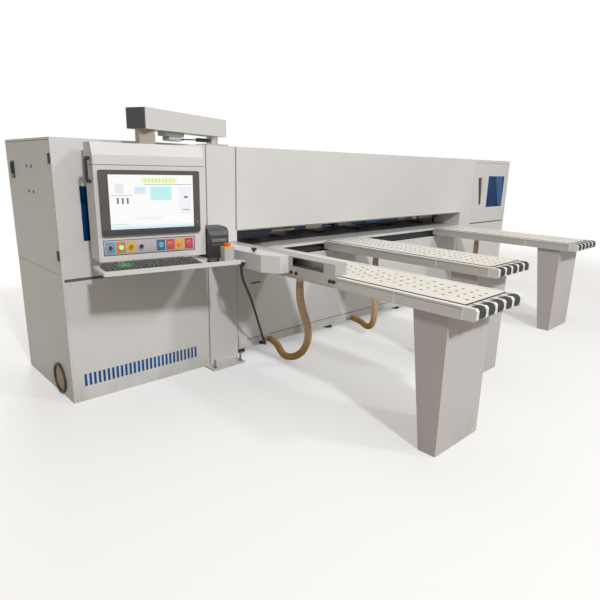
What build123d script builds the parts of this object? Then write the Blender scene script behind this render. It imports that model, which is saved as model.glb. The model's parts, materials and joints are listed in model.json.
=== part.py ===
from build123d import *
import os
from math import atan2, cos, degrees, hypot, pi, radians, sin, tan

# Working frame: X = 0 at the left end, Y = 0 on the front plane of the covers, Z = 0 on the floor.
# The finished nodes are moved so that the origin is the bottom centre of the whole machine.

# Body
machine_length = 6295
machine_height = 1800
body_depth = 967
cabinet_width = 1136
column_width = 290
tower_width = 1263
cover_sheet = 3
seam_gap = 0.8
table_height = 960
throat_top = table_height + 171
cover_lip = 40
split_height = 905
column_left = cabinet_width
column_right = cabinet_width + column_width
tower_left = machine_length - tower_width

# Cabinet on the left end
door_edge = 20
door_head = 15
door_depth = 20
door_gap = 3
frame_strip = 12
vent_count = 28
vent_first = 84
vent_last = 1003
vent_width = 19
vent_low = 108
vent_high = 200
vent_head = 20
window_left = 160
window_width = 740
window_low = 1140
window_high = 1500
pane_lap = 10
pane_thickness = 5
hinge_radius = 6
hinge_standoff = 0.5
hinge_length = 64
hinge_heights = (split_height + 147, machine_height - 130)
hinge_leaf = 40
leaf_thickness = 2
lock_y = (body_depth - 172, body_depth - 102)
lock_z = (machine_height - 272, machine_height - 148)
lock_plate = 6
lever_z = (machine_height - 240, machine_height - 160)
lever_width = 24
lever_rise = 12

# Switchgear: count, first place, pitch, width, depth, low and high of each row
gear_plate_x = 500
gear_plate_thickness = 4
gear_plate_front = 60
gear_plate_z = (split_height + 25, machine_height - 50)
gear_rows = ((4, 170, 200, 130, 170, 1360, 1660), (10, 110, 78, 54, 80, 1180, 1270),
             (1, 225, 0, 210, 140, 950, 1100))
wire_ducts = (1140, 1315, 1710)
wire_duct_y = (80, body_depth - 67)
wire_duct_height = 40
wire_duct_depth = 60

# Capped dust port on the left end
port_y = 237
port_z = 122
port_radius = 114
port_recess = 94
port_plug = 100
port_reach = 14
port_cap = 5
port_inside = 10
left_reach = max(port_reach, lock_plate + lever_rise)

# Column under the arm
column_wall = 6
foot_thickness = 15
foot_reach = 145
foot_left = column_left - 61
foot_right = column_right - 26
anchor_radius = 9
anchor_spacing = 110
anchor_y = -70
jack_radius = 9
jack_inset = 32
jack_height = 85
jack_nut = 14
jack_nut_radius = 16
fit_gap = 0.4
shaft_sides = 12
drum_sides = 24

# Base, saw table and carriage track
base_left_gap = 4
base_right = machine_length - 55
base_front = 60
base_back = body_depth - 67
base_bottom = 65
base_plate = 12
sill_top = 145
panel_drop = 75
table_plate = 25
saw_line = 400
slot_width = 12
slot_left = column_right + 54
rail_lines = (245, 655)
rail_width = 30
rail_low = 300
rail_high = 330
rail_flange = 60
rail_end_gap = 10
foot_pad_radius = 45
foot_pad_height = 15
foot_stud_radius = 12
foot_lines = (100, 860)
foot_inset = 95
foot_shares = (0, 0.253, 0.513, 0.784, 1)
tie_width = 85
tie_blocks = ((85, 140, 22), (140, 195, 14))

# Saw carriage
carriage_x = 1800
carriage_half = 340
carriage_plate = 20
carriage_y = (205, 705)
block_length = 100
block_width = 64
block_rise = 18
block_clear = 4
block_station = 260
guide_station = 220
guide_half = 15
guide_top = table_height - 60
main_offset = -110
main_radius = 200
main_flange = 62
main_shaft = 16
main_motor = 85
main_teeth = 40
main_z = table_height - 218
scoring_offset = 210
scoring_radius = 90
scoring_flange = 30
scoring_shaft = 9
scoring_motor = 42
scoring_teeth = 20
scoring_z = table_height - 187
kerf = 4.4
tooth_depth = 11
tooth_drop = 1.5
blade_flange = 12
arbor_engage = 15
arbor_bore = 22
motor_front = 440
motor_fins = 16
fin_depth = 7
lift_plate_y = 612
lift_plate = 18
lift_half = 300
lift_plate_z = (table_height - 530, table_height - 160)
shoe_lows = (table_height - 480, table_height - 280)
shoe_half = 40
shoe_height = 80
upright_y = 660
upright = 24
upright_inset = 20
upright_top = table_height - 55

# Bridge, pressure beam and cylinders
bridge_front = 290
bridge_back = 530
bridge_high = machine_height - 110
bridge_low = bridge_high - 250
bridge_wall = 10
beam_left = column_right + 44
beam_right = tower_left - 42
beam_front = 320
beam_back = 480
beam_low = table_height + 80
beam_high = beam_low + 205
beam_groove = 24
groove_top = beam_low + 95
notch_width = 130
notch_top = beam_low + 125
beam_wall = 12
cylinder_size = 80
rod_radius = 12.5
cylinder_low = beam_high + 17
rod_top = beam_high + 155
rod_spare = 10
cylinder_inset = 430
cylinder_stations = (beam_left + cylinder_inset, (beam_left + beam_right) / 2, beam_right - cylinder_inset)

# Air tables, legs and end rollers
table_width = 544
table_lefts = (column_left + 168, 2486, 4425)
table_reaches = (2166, 1712, 1599)
table_bottom = table_height - 80
table_wall = 4
top_thickness = 10
top_proud = 4
top_inset = 44
top_setback = 86
cheek_count = 6
cheek_width = 28
cheek_half = 36
nose_bevel = 12
bearing_skin = 6
shaft_window = 28
roller_radius = 38
roller_drop = 40
roller_reach = 48
roller_gap = 1
shaft_radius = 8
leg_inset = 26
leg_setback = 88
leg_top_depth = 235
leg_foot_depth = 120
leg_wall = 4

# Side fence and its cover
fence_width = 111
fence_reach = 1247
fence_height = 80
fence_wall = 6
fence_flange_drop = 65
fence_flange_back = -790
fence_end_block = 98
fence_slot = (-1140, -830)
fence_slot_z = (table_height + 8, table_height + 72)
aligner_left = column_left + 4
aligner_low = table_height - 45
aligner_reach = 790
aligner_corner_y = -670
aligner_corner_x = aligner_left + 80

# Hoses, cable and their fittings
hose_radius = 31
hose_root = 27
hose_bore = 23
hose_cuff = 74
rib_counts = (14, 9, 9)
spigot_length = 50
spigot_flange = 12
spigot_plate = 6
arc_share = 0.45
cable_radius = 9.5
gland_radius = 17
gland_body = 13.5
gland_length = 22
elbow_height = 30

# Free routes down to the base; x counts from the table's left edge, or from the fence cover's
hose_top = table_bottom - spigot_length
long_hose = [(120, -781, hose_top), (120, -781, 730), (150, -774, 625), (215, -752, 520), (298, -706, 405),
             (368, -632, 270), (408, -528, 145), (402, -412, 78), (398, -285, 66), (441, -150, 119),
             (441, -50, 119)]
short_hose = [(214, -480, hose_top), (214, -480, 660), (226, -487, 480), (249, -484, 270), (294, -428, 135),
              (354, -310, 70), (414, -165, 100), (414, -50, 100)]
cable_drop = [(-22, -470, 925), (-22, -470, 855), (44, -438, 760), (150, -378, 615), (272, -290, 430),
              (380, -206, 280), (462, -142, 165), (518, -98, 103), (545, -60, 82), (545, -22, 82)]

# Arm over the column and its two upright axes
arm_axis = (column_left + 124, 95)
console_axis = (545, -190)
arm_size = 130
arm_width = 155
arm_wall = 5
arm_low = machine_height + 70
arm_overhang = 78
arm_cap = 8
pivot_radius = 20
pivot_depth = 62
boss_radius = 38
boss_cap = 6
pivot_spare = 2
post_radius = 45
post_plate = 12
post_plate_x = (column_left + 29, column_right - 71)
post_plate_y = (8, 182)
hanger_half = (52, 45)
hang_gap = 0.5

# Console, in its own frame about the swivel axis; negative y is the operator's side
console_turn = -9
housing_x = (-380, 345)
housing_front = -150
housing_back = 60
housing_low = 1036
housing_top = 1775
bevel_low = 1700
bevel_depth = 42
housing_wall = 3
monitor_x = (-357, 300)
monitor_z = (1203, 1611)
monitor_depth = 22
monitor_corner = 12
screen_x = (-302, 254)
screen_z = (1242, 1583)
screen_recess = 5
button_z = 1125
button_first = -310
button_pitch = 66
button_radius = 14
button_stem = 10
button_reach = 15
button_cap = 10
button_depth = 45
tray_x = (-412, 505)
tray_front = -374
tray_back = -100
shelf_left = 340
shelf_back = -5
tray_low = 988
tray_high = 1008
tray_wall = 3
tray_lip = 12
bracket_x = (-250, 200)
bracket_width = 40
bracket_front = -145
keyboard_x = (-385, 228)
keyboard_y = (-355, -165)
keyboard_height = 22
keyboard_front = 12
printer_x = (350, 503)
printer_y = (-205, -12)
printer_split = 1120
printer_top = 1228
printer_bevel = 10
lid_brow = ((0, 54), (12, 26), (36, 7), (68, 0))
lid_gap = 0.8
knuckle_radius = 5
knuckle_half = 50
stop_box_x = (388, 462)
stop_box_y = (-366, -296)
stop_box_top = 1112
stop_radius = 24
stop_stem = 8
stop_cap = 16
stop_rise = 9
stop_bevel = 5
stop_bore = 25
stop_engage = 15
handle_z = (1527, 1689)
handle_y = -75
handle_reach = 32
handle_bar = 18

# Tower on the right end
access_left = tower_left + 298
access_right = machine_length - 40
access_low = table_height + 10
access_high = machine_height - 40
tower_window_x = (access_left + 382, access_right - 75)
tower_window_z = (1170, 1590)
blade_slit = (385, 415)
blade_slit_top = table_height + 100
base_clear = 5
table_clear = 2
access_hinge = 120

# Rear feeder
rear_reach = 3900
side_beam_width = 100
side_beam_lefts = (column_right + 14, tower_left - side_beam_width - 12)
side_beam_low = table_height - 130
side_beam_high = table_height - 10
track_high = table_height + 15
track_width = 30
support_width = 60
support_low = table_height - 90
support_high = table_height - 5
rear_leg_lines = (2300, 3750)
rear_leg_size = 100
rear_foot = 160
cross_beam_width = 60
support_end_gap = 20
cross_beam_low = table_height - 170
gantry_front = 1020
gantry_depth = 160
gantry_low = table_height + 80
gantry_high = table_height + 240
gantry_wall = 8
gantry_overhang = 10
truck_front = 970
truck_back = 1240
gripper_count = 6
gripper_inset = 180
gripper_width = 70
gripper_tip = 425
gripper_block = 800
gripper_low = table_height + 4
gripper_plate = 8
gripper_high = table_height + 140
jaw_width = 34
jaw_gap = 1
jaw_pivot = (900, table_height + 100)
jaw_tip = 435
jaw_pin = 8
jaw_tail = 30
jaw_rise = 18
jaw_web = 15
jaw_drop = 30
jaw_nose = 60
jaw_pad = 40
fork_depth = 60
pin_inset = 1

# Blower behind the vents
fan_x = 760
fan_radius = 230
duct_y = (76, 196)
duct_height = 120
duct_right = tower_left + 168
fan_motor_radius = 110
fan_motor_back = 460
duct_wall = 5
stand_half = 150
stand_inset = 20
stand_lap = 4
cradle_half = 70
cradle_inset = 60
cradle_lap = 20

# Places that several pieces share
table_under = table_height - table_plate
base_left = column_right + base_left_gap
deck = base_bottom + base_plate
foot_run = base_right - base_left - 2 * foot_inset
foot_stations = [base_left + foot_inset + share * foot_run for share in foot_shares]
gripper_pitch = (beam_right - beam_left - 2 * gripper_inset) / (gripper_count - 1)
grippers = [beam_left + gripper_inset + i * gripper_pitch for i in range(gripper_count)]
support_stations = [(a + b) / 2 for a, b in zip(grippers, grippers[1:])]
arm_length = hypot(console_axis[0] - arm_axis[0], console_axis[1] - arm_axis[1])
arm_turn = degrees(atan2(console_axis[1] - arm_axis[1], console_axis[0] - arm_axis[0]))
arm_place = Location((*arm_axis, 0), (0, 0, arm_turn))
console_place = Location((*console_axis, 0), (0, 0, console_turn))
front_reach = table_reaches[0] + roller_reach + roller_radius
origin_shift = Pos(-(machine_length - left_reach) / 2, -(rear_reach - front_reach) / 2, 0)
printer_hinge = (printer_y[1] - knuckle_radius, printer_split + lid_gap + knuckle_radius)
hose_routes = [[(left + x, y, z) for x, y, z in shape]
               for left, shape in zip(table_lefts, (long_hose, short_hose, short_hose))]
cable_route = [(aligner_left + x, y, z) for x, y, z in cable_drop]

# The button row, from left to right; the fifth place is bare
button_places = (0, 1, 2, 3, 5, 6, 7, 8)


def span(x, y, z):
    """Box between a pair of coordinates on each axis."""
    pairs = (x, y, z)
    middle = [(low + high) / 2 for low, high in pairs]
    return Pos(*middle) * Box(*[high - low for low, high in pairs])


def around(centre, half):
    """Pair of coordinates at equal distance from a centre."""
    return (centre - half, centre + half)


def rod(base, direction, length, radius):
    """Cylinder from a base point."""
    return extrude(Plane(base, z_dir=direction) * Circle(radius), length)


def bar(base, direction, length, radius, sides):
    """Prism of regular section from a base point, for studs, pins and stems."""
    return extrude(Plane(base, z_dir=direction) * RegularPolygon(radius, sides), length)


def bar_hole(base, direction, length, radius, sides):
    """Hole with flats that clear the corners of a bar turned in it."""
    across = RegularPolygon(radius + fit_gap, sides, major_radius=False, rotation=180 / sides)
    return extrude(Plane(base, z_dir=direction) * across, length)


def prism_x(points, x):
    """Prism along X from an outline of (y, z) points."""
    outline = make_face(Plane.YZ.offset(x[0]) * Polyline(*points, close=True))
    return extrude(outline, x[1] - x[0], dir=(1, 0, 0))


def prism_y(points, y):
    """Prism along Y from an outline of (x, z) points."""
    outline = make_face(Plane.XZ.offset(-y[0]) * Polyline(*points, close=True))
    return extrude(outline, y[1] - y[0], dir=(0, 1, 0))


def prism_z(points, z):
    """Prism along Z from an outline of (x, y) points."""
    outline = make_face(Plane.XY.offset(z[0]) * Polyline(*points, close=True))
    return extrude(outline, z[1] - z[0], dir=(0, 0, 1))


def hollow_box(x, y, z, wall):
    """Closed box of sheet."""
    inside = [(low + wall, high - wall) for low, high in (x, y, z)]
    return span(x, y, z) - span(*inside)


def group(pieces):
    """Separate solids kept under one name."""
    return Compound([solid for piece in pieces for solid in piece.solids()])


def cabinet_shell():
    """Left end housing, open at the door, the vent panel, the window, the dust port and the duct."""
    shell = hollow_box((0, cabinet_width), (0, body_depth), (0, machine_height), cover_sheet)
    inner = (-1, cover_sheet + 1)
    shell -= span(inner, (door_edge, body_depth - door_edge),
                  (split_height + frame_strip, machine_height - door_head))
    shell -= span((frame_strip, cabinet_width - frame_strip), inner,
                  (2 * frame_strip, split_height - frame_strip))
    shell -= span((window_left, window_left + window_width), inner, (window_low, window_high))
    shell -= rod((-1, port_y, port_z), (1, 0, 0), cover_sheet + 2, port_plug + seam_gap)
    right = (cabinet_width - cover_sheet - 1, cabinet_width + 1)
    return shell - duct_hole(right)


def duct_hole(x):
    """Clearance for the blower duct through a wall."""
    low, high = duct_y
    return span(x, (low - seam_gap, high + seam_gap), (deck - seam_gap, deck + duct_height + seam_gap))


def vent_panel():
    """Lower front panel of the cabinet with its row of slots."""
    panel = span((frame_strip + seam_gap, cabinet_width - frame_strip - seam_gap), (0, cover_sheet),
                 (2 * frame_strip + seam_gap, split_height - frame_strip - vent_head))
    pitch = (vent_last - vent_first - vent_width) / (vent_count - 1)
    slots = [span((vent_first + i * pitch, vent_first + i * pitch + vent_width),
                  (-1, cover_sheet + 1), (vent_low, vent_high)) for i in range(vent_count)]
    return panel - slots


def cabinet_window():
    """Tinted pane behind the cabinet's front sheet."""
    return span((window_left - pane_lap, window_left + window_width + pane_lap),
                (cover_sheet, cover_sheet + pane_thickness),
                (window_low - pane_lap, window_high + pane_lap))


def folded_door(wide, high, depth):
    """Door pan in the XZ plane, its outer sheet at y = 0 and its folded edges behind."""
    pan = span(wide, (0, depth), high)
    inside = [(low + cover_sheet, far - cover_sheet) for low, far in (wide, high)]
    return pan - span(inside[0], (cover_sheet, depth + 1), inside[1])


def hinge_knuckles(axis_x, axis_y, heights, leaf):
    """Barrels and leaves of a door's hinges about an upright axis."""
    barrels = []
    for z in heights:
        barrels.append(bar((axis_x, axis_y, z - hinge_length / 2), (0, 0, 1), hinge_length, hinge_radius, 8))
        barrels.append(span(*leaf, around(z, hinge_length / 2 - leaf_thickness)))
    return barrels


def cabinet_door():
    """Side door of the cabinet with hinge barrels at the front and a lever lock at the back."""
    wide = (door_edge + door_gap, body_depth - door_edge - door_gap)
    high = (split_height + frame_strip + door_gap, machine_height - door_head - door_gap)
    pan = mirror(Rot(0, 0, 90) * folded_door(wide, high, door_depth), Plane.YZ)
    axis_x = -hinge_radius - hinge_standoff
    axis_y = frame_strip
    leaf = ((-leaf_thickness, 0), (axis_y, door_edge + hinge_leaf))
    knuckles = hinge_knuckles(axis_x, axis_y, hinge_heights, leaf)
    lock = span((-lock_plate, 0), lock_y, lock_z)
    lever = span((-lock_plate - lever_rise, -lock_plate), around(sum(lock_y) / 2, lever_width / 2), lever_z)
    return pan + knuckles + [lock, lever]


def electrical_plate():
    """Mounting plate with drives, contactors and wiring duct, facing the side door."""
    back = gear_plate_x
    plate = span((back, back + gear_plate_thickness), (gear_plate_front, body_depth - cover_sheet),
                 gear_plate_z)
    gear = [span((back - wire_duct_depth, back), wire_duct_y, around(z, wire_duct_height / 2))
            for z in wire_ducts]
    for count, first, pitch, width, depth, low, high in gear_rows:
        gear += [span((back - depth, back), around(first + i * pitch, width / 2), (low, high))
                 for i in range(count)]
    return plate + gear


def air_blower():
    """Fan scroll, its motor and stand, and the duct that feeds the table hoses."""
    low, high = duct_y
    axis_z = deck + fan_radius
    scroll = rod((fan_x, low, axis_z), (0, 1, 0), high - low, fan_radius)
    motor = rod((fan_x, high - 1, axis_z), (0, 1, 0), fan_motor_back - high, fan_motor_radius)
    duct = span((fan_x, duct_right), duct_y, (deck, deck + duct_height))
    duct -= span((column_right, duct_right - duct_wall), (low + duct_wall, high - duct_wall),
                 (deck + duct_wall, deck + duct_height - duct_wall))
    stand = span(around(fan_x, stand_half), (low, fan_motor_back - stand_inset),
                 (cover_sheet, deck + stand_lap))
    cradle = span(around(fan_x, cradle_half), (high, fan_motor_back - cradle_inset),
                  (deck, axis_z - fan_motor_radius + cradle_lap))
    return scroll + [motor, duct, stand, cradle]


def column_post():
    """Box column with a floor plate that reaches out in front of it."""
    post = hollow_box((column_left, column_right), (0, body_depth),
                      (foot_thickness, machine_height), column_wall)
    post -= duct_hole((column_left - 1, column_right + 1))
    foot = span((foot_left, foot_right), (-foot_reach, 0), (0, foot_thickness))
    foot += span((column_left, column_right), (0, body_depth), (0, foot_thickness))
    holes = [rod((x, anchor_y, -1), (0, 0, 1), foot_thickness + 2, anchor_radius) for x in anchor_places()]
    holes += [bar_hole((x, y, -1), (0, 0, 1), foot_thickness + 2, jack_radius, 8) for x, y in jack_places()]
    return post + (foot - holes)


def anchor_places():
    """Two floor anchor holes, either side of the middle of the foot plate."""
    return around((foot_left + foot_right) / 2, anchor_spacing / 2)


def jack_places():
    """Jack screws in the front corners of the foot plate."""
    return [(x, jack_inset - foot_reach) for x in (foot_left + jack_inset, foot_right - jack_inset)]


def levelling_feet():
    """Pads under the base and jack screws through the foot plate."""
    feet = []
    for x in foot_stations:
        for y in foot_lines:
            pad = bar((x, y, 0), (0, 0, 1), foot_pad_height, foot_pad_radius, 8)
            feet.append(pad + bar((x, y, 0), (0, 0, 1), base_bottom, foot_stud_radius, 6))
    for x, y in jack_places():
        screw = bar((x, y, 0), (0, 0, 1), jack_height, jack_radius, 8)
        feet.append(screw + bar((x, y, foot_thickness), (0, 0, 1), jack_nut, jack_nut_radius, 6))
    return group(feet)


def rail_beam(line):
    """Outline, from back to front, of a T beam that carries one carriage rail."""
    web = base_plate / 2
    flange = rail_flange / 2
    low = rail_low - base_plate
    half = [(web, deck), (web, low), (flange, low), (flange, rail_low)]
    return [(line + y, z) for y, z in half] + [(line - y, z) for y, z in reversed(half)]


def base_frame():
    """Welded trough with two rail beams inside, a sill along its front and tie blocks at the column."""
    outline = [(base_front, base_bottom), (base_back, base_bottom), (base_back, table_under),
               (base_back - base_plate, table_under), (base_back - base_plate, deck)]
    for line in reversed(rail_lines):
        outline += rail_beam(line)
    outline += [(base_front + base_plate, deck), (base_front + base_plate, table_under),
                (base_front, table_under)]
    trough = prism_x(outline, (base_left, base_right))
    trough += span((base_left, tower_left - base_left_gap), (0, base_front), (base_bottom, sill_top))
    return trough + [span((base_left, base_left + tie_width), (-depth, cover_sheet), (low, high))
                     for low, high, depth in tie_blocks]


def lower_front_panel():
    """Sheet on the sill, with an open recess between it and the saw table."""
    sheet = span((base_left, tower_left - base_left_gap), (0, cover_sheet),
                 (sill_top, table_under - panel_drop))
    return sheet - span((base_left, base_left + tie_width), (-1, cover_sheet + 1),
                        (sill_top, tie_blocks[-1][1]))


def saw_table():
    """Steel table with the saw slot open at its right end."""
    plate = span((column_right, tower_left), (0, base_back), (table_under, table_height))
    return plate - span((slot_left, tower_left + 1), around(saw_line, slot_width / 2),
                        (table_under - 1, table_height + 1))


def carriage_rails():
    """Two profiled rails along the base."""
    along = (base_left + rail_end_gap, base_right - 2 * rail_end_gap)
    return group([span(along, around(line, rail_width / 2), (rail_low, rail_high)) for line in rail_lines])


def saw_carriage():
    """Carriage on four rail blocks, with an upright that guides the saw lift."""
    bed = rail_high + block_rise
    top = bed + carriage_plate
    carriage = span(around(carriage_x, carriage_half), carriage_y, (bed, top))
    carriage += span(around(carriage_x, carriage_half - upright_inset), (upright_y, upright_y + upright),
                     (top, upright_top))
    carriage += [span(around(carriage_x + side * guide_station, guide_half),
                      (upright_y - guide_half, upright_y), (top, guide_top)) for side in (-1, 1)]
    blocks = []
    for side in (-1, 1):
        for line in rail_lines:
            along = around(carriage_x + side * block_station, block_length / 2)
            block = span(along, around(line, block_width / 2), (rail_low + block_clear, bed))
            blocks.append(block - span(along, around(line, rail_width / 2 + fit_gap),
                                       (rail_low, rail_high + fit_gap)))
    return carriage + blocks


def saw_unit():
    """Lift plate with four shoes round the upright's guides."""
    plate = span(around(carriage_x, lift_half), (lift_plate_y, lift_plate_y + lift_plate), lift_plate_z)
    front = lift_plate_y + lift_plate
    shoes = []
    for side in (-1, 1):
        middle = carriage_x + side * guide_station
        for low in shoe_lows:
            tall = (low, low + shoe_height)
            shoe = span(around(middle, shoe_half), (front, upright_y - fit_gap), tall)
            shoes.append(shoe - span(around(middle, guide_half + fit_gap),
                                     (upright_y - guide_half - fit_gap, upright_y), tall))
    return plate + shoes


def spindle_motor(x, z, radius, shaft):
    """Motor on the lift plate, finned along its length, with a bore for its arbor."""
    points = []
    for i in range(motor_fins):
        root = radius - fin_depth
        for share, reach in ((0, radius), (0.4, radius), (0.45, root), (0.95, root)):
            turn = 2 * pi * (i + share) / motor_fins
            points.append((x + reach * cos(turn), z + reach * sin(turn)))
    body = prism_y(points, (motor_front, lift_plate_y))
    return body - bar_hole((x, motor_front - 1, z), (0, 1, 0), arbor_bore, shaft, shaft_sides)


def saw_motors():
    """Main and scoring motors."""
    return group([spindle_motor(carriage_x + main_offset, main_z, main_motor, main_shaft),
                  spindle_motor(carriage_x + scoring_offset, scoring_z, scoring_motor, scoring_shaft)])


def toothed_disc(x, z, radius, teeth):
    """Blade outline with raked teeth and sloping gullets."""
    points = []
    for i in range(teeth):
        for share, reach in ((0, radius), (0.4, radius - tooth_drop), (0.85, radius - tooth_depth)):
            turn = 2 * pi * (i + share) / teeth
            points.append((x + reach * cos(turn), z + reach * sin(turn)))
    return prism_y(points, around(saw_line, kerf / 2))


def blade_on_arbor(x, z, radius, teeth, flange, shaft):
    """Blade between two flanges, on an arbor that runs into its motor."""
    blade = toothed_disc(x, z, radius, teeth)
    blade += bar((x, saw_line - blade_flange, z), (0, 1, 0), 2 * blade_flange, flange, drum_sides)
    return blade + bar((x, saw_line, z), (0, 1, 0), motor_front + arbor_engage - saw_line, shaft, shaft_sides)


def bridge_beam():
    """Box girder from the column to the tower."""
    girder = span((column_right, tower_left), (bridge_front, bridge_back), (bridge_low, bridge_high))
    inside = [(bridge_front + bridge_wall, bridge_back - bridge_wall),
              (bridge_low + bridge_wall, bridge_high - bridge_wall)]
    return girder - span((column_right - 1, tower_left + 1), *inside)


def beam_cover():
    """Folded cover over the girder, open below for the panel."""
    back = body_depth
    inner_top = machine_height - cover_sheet
    lip = throat_top + cover_sheet
    outline = [(0, throat_top), (0, machine_height), (back, machine_height), (back, throat_top),
               (back - cover_lip, throat_top), (back - cover_lip, lip), (back - cover_sheet, lip),
               (back - cover_sheet, inner_top), (cover_sheet, inner_top), (cover_sheet, lip),
               (cover_lip, lip), (cover_lip, throat_top)]
    return prism_x(outline, (column_right, tower_left))


def lift_cylinders():
    """Square cylinder barrels under the girder, bored for the rods."""
    middle = (beam_front + beam_back) / 2
    cylinders = []
    for x in cylinder_stations:
        half = cylinder_size / 2
        body = span(around(x, half), around(middle, half), (cylinder_low, bridge_low))
        cylinders.append(body - bar_hole((x, middle, cylinder_low - 1), (0, 0, 1),
                                         rod_top - cylinder_low + rod_spare, rod_radius, shaft_sides))
    return group(cylinders)


def pressure_beam():
    """Clamping beam with the blade groove, a notch for each gripper and three piston rods."""
    middle = (beam_front + beam_back) / 2
    wall = beam_wall
    beam = span((beam_left, beam_right), (beam_front, beam_back), (beam_low, beam_high))
    beam -= span((beam_left - 1, beam_right + 1), (beam_front + wall, beam_back - wall),
                 (notch_top + wall, beam_high - wall))
    beam -= span((beam_left - 1, beam_right + 1), around(saw_line, beam_groove / 2),
                 (beam_low - 1, groove_top))
    beam -= [span(around(x, notch_width / 2), (beam_front - 1, beam_back + 1), (beam_low - 1, notch_top))
             for x in grippers]
    rods = [bar((x, middle, beam_high - 1), (0, 0, 1), rod_top - beam_high + 1, rod_radius, shaft_sides)
            for x in cylinder_stations]
    return beam + rods


def roller_line(reach):
    """Y and Z of a table's end roller axis."""
    return (-reach - roller_reach, table_height - roller_drop)


def roller_gaps(left):
    """X span of each roller between its two cheeks."""
    pitch = (table_width - cheek_width) / (cheek_count - 1)
    return [(left + i * pitch + cheek_width + roller_gap, left + (i + 1) * pitch - roller_gap)
            for i in range(cheek_count - 1)]


def air_table(left, reach, inlet):
    """Table plenum with a pocket for the top plate and the roller cheeks at its end."""
    rim = table_height - top_proud
    seat = table_height - top_thickness
    right = left + table_width
    body = span((left, right), (-reach, 0), (table_bottom, rim))
    body -= span((left + top_inset, right - top_inset), (top_setback - reach, 1), (seat, rim + 1))
    body -= span((left + table_wall, right - table_wall), (table_wall - reach, -table_wall),
                 (table_bottom + table_wall, seat - table_wall))
    line_y, line_z = roller_line(reach)
    pitch = (table_width - cheek_width) / (cheek_count - 1)
    for i in range(cheek_count):
        side = (left + i * pitch, left + i * pitch + cheek_width)
        cheek = prism_x(cheek_outline(reach), side)
        if 0 < i < cheek_count - 1:
            cheek -= span(side, around(line_y, shaft_window / 2), around(line_z, shaft_window / 2))
        body += cheek
    for end in (left + bearing_skin, right - cheek_width - 1):
        body -= bar_hole((end, line_y, line_z), (1, 0, 0), cheek_width - bearing_skin + 1, shaft_radius,
                         shaft_sides)
    return body - bar((*inlet[:2], table_bottom - 1), (0, 0, 1), table_wall + 2, hose_bore, 6)


def cheek_outline(reach):
    """Side of a roller cheek, bevelled at its nose."""
    line_y, line_z = roller_line(reach)
    nose = line_y - cheek_half
    low, high = around(line_z, cheek_half)
    return [(-reach, low), (-reach, high), (nose + nose_bevel, high), (nose, high - nose_bevel),
            (nose, low + nose_bevel), (nose + nose_bevel, low)]


def air_tables():
    """The three table plenums."""
    inlets = [route[0] for route in hose_routes]
    return group([air_table(*place) for place in zip(table_lefts, table_reaches, inlets)])


def table_tops():
    """Drilled top plates, set in the plenums' pockets."""
    edge = top_inset + fit_gap
    return group([span((left + edge, left + table_width - edge), (top_setback + fit_gap - reach, 0),
                       (table_height - top_thickness, table_height))
                  for left, reach in zip(table_lefts, table_reaches)])


def front_rollers(left, reach):
    """Rollers on a hexagon shaft with a round journal at each end."""
    line_y, line_z = roller_line(reach)
    drums = [bar((low, line_y, line_z), (1, 0, 0), high - low, roller_radius, drum_sides)
             for low, high in roller_gaps(left)]
    inner = (left + cheek_width + 2 * roller_gap, left + table_width - cheek_width - 2 * roller_gap)
    shaft = bar((inner[0], line_y, line_z), (1, 0, 0), inner[1] - inner[0], shaft_radius, 6)
    journal = cheek_width - bearing_skin + roller_gap
    journals = [bar((end, line_y, line_z), (1, 0, 0), journal, shaft_radius, shaft_sides)
                for end in (inner[0] - journal, inner[1])]
    return shaft + drums + journals


def leg_outline(front, wall):
    """Side of a leg, upright in front and raked behind."""
    return [(front + wall, wall), (front + wall, table_bottom - wall),
            (front + leg_top_depth - wall, table_bottom - wall), (front + leg_foot_depth - wall, wall)]


def table_legs():
    """Tapered sheet legs under the outer ends of the tables."""
    legs = []
    for left, reach in zip(table_lefts, table_reaches):
        front = leg_setback - reach
        wide = (left + leg_inset, left + table_width - leg_inset)
        inside = (wide[0] + leg_wall, wide[1] - leg_wall)
        legs.append(prism_x(leg_outline(front, 0), wide) - prism_x(leg_outline(front, leg_wall), inside))
    return group(legs)


def side_fence():
    """Hollow fence beam on the first table, with an open slot and a flange bolted to the table's side."""
    outer = table_lefts[0] - fence_wall
    wide = (outer, outer + fence_width)
    top = table_height + fence_height
    fence = span(wide, (-fence_reach, 0), (table_height, top))
    fence -= span((outer + fence_wall, wide[1] - fence_wall), (fence_end_block - fence_reach, 1),
                  (table_height + fence_wall, top - fence_wall))
    fence -= span((outer - 1, outer + fence_wall + 1), fence_slot, fence_slot_z)
    return fence + span((outer, table_lefts[0]), (-fence_reach, fence_flange_back),
                        (table_height - fence_flange_drop, table_height + fence_wall))


def aligner_outline(inset):
    """Plan of the fence cover, with a cut corner towards the operator."""
    right = table_lefts[0] - fence_wall - inset
    return [(aligner_left + inset, -inset), (aligner_left + inset, aligner_corner_y + inset / 2),
            (aligner_corner_x + inset / 2, inset - aligner_reach), (right, inset - aligner_reach),
            (right, -inset)]


def fence_cover():
    """Sheet housing beside the fence."""
    top = table_height + fence_height
    inside = (aligner_low + cover_sheet, top - cover_sheet)
    return prism_z(aligner_outline(0), (aligner_low, top)) - prism_z(aligner_outline(cover_sheet), inside)


def route_radii(route, name):
    """Largest arc for each corner of a free route, printed for reading."""
    points = [Vector(*point) for point in route]
    runs = [b - a for a, b in zip(points, points[1:])]
    radii = []
    for before, after in zip(runs, runs[1:]):
        half_turn = radians(before.get_angle(after)) / 2
        radii.append(arc_share * min(before.length, after.length) / tan(half_turn))
    print(name, "radii", [round(radius) for radius in radii])
    return radii


def route_path(route, name):
    """Straight runs joined by tangent arcs."""
    path = FilletPolyline(*route, radius=route_radii(route, name))
    print(name, "length", round(path.length))
    return path


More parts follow.
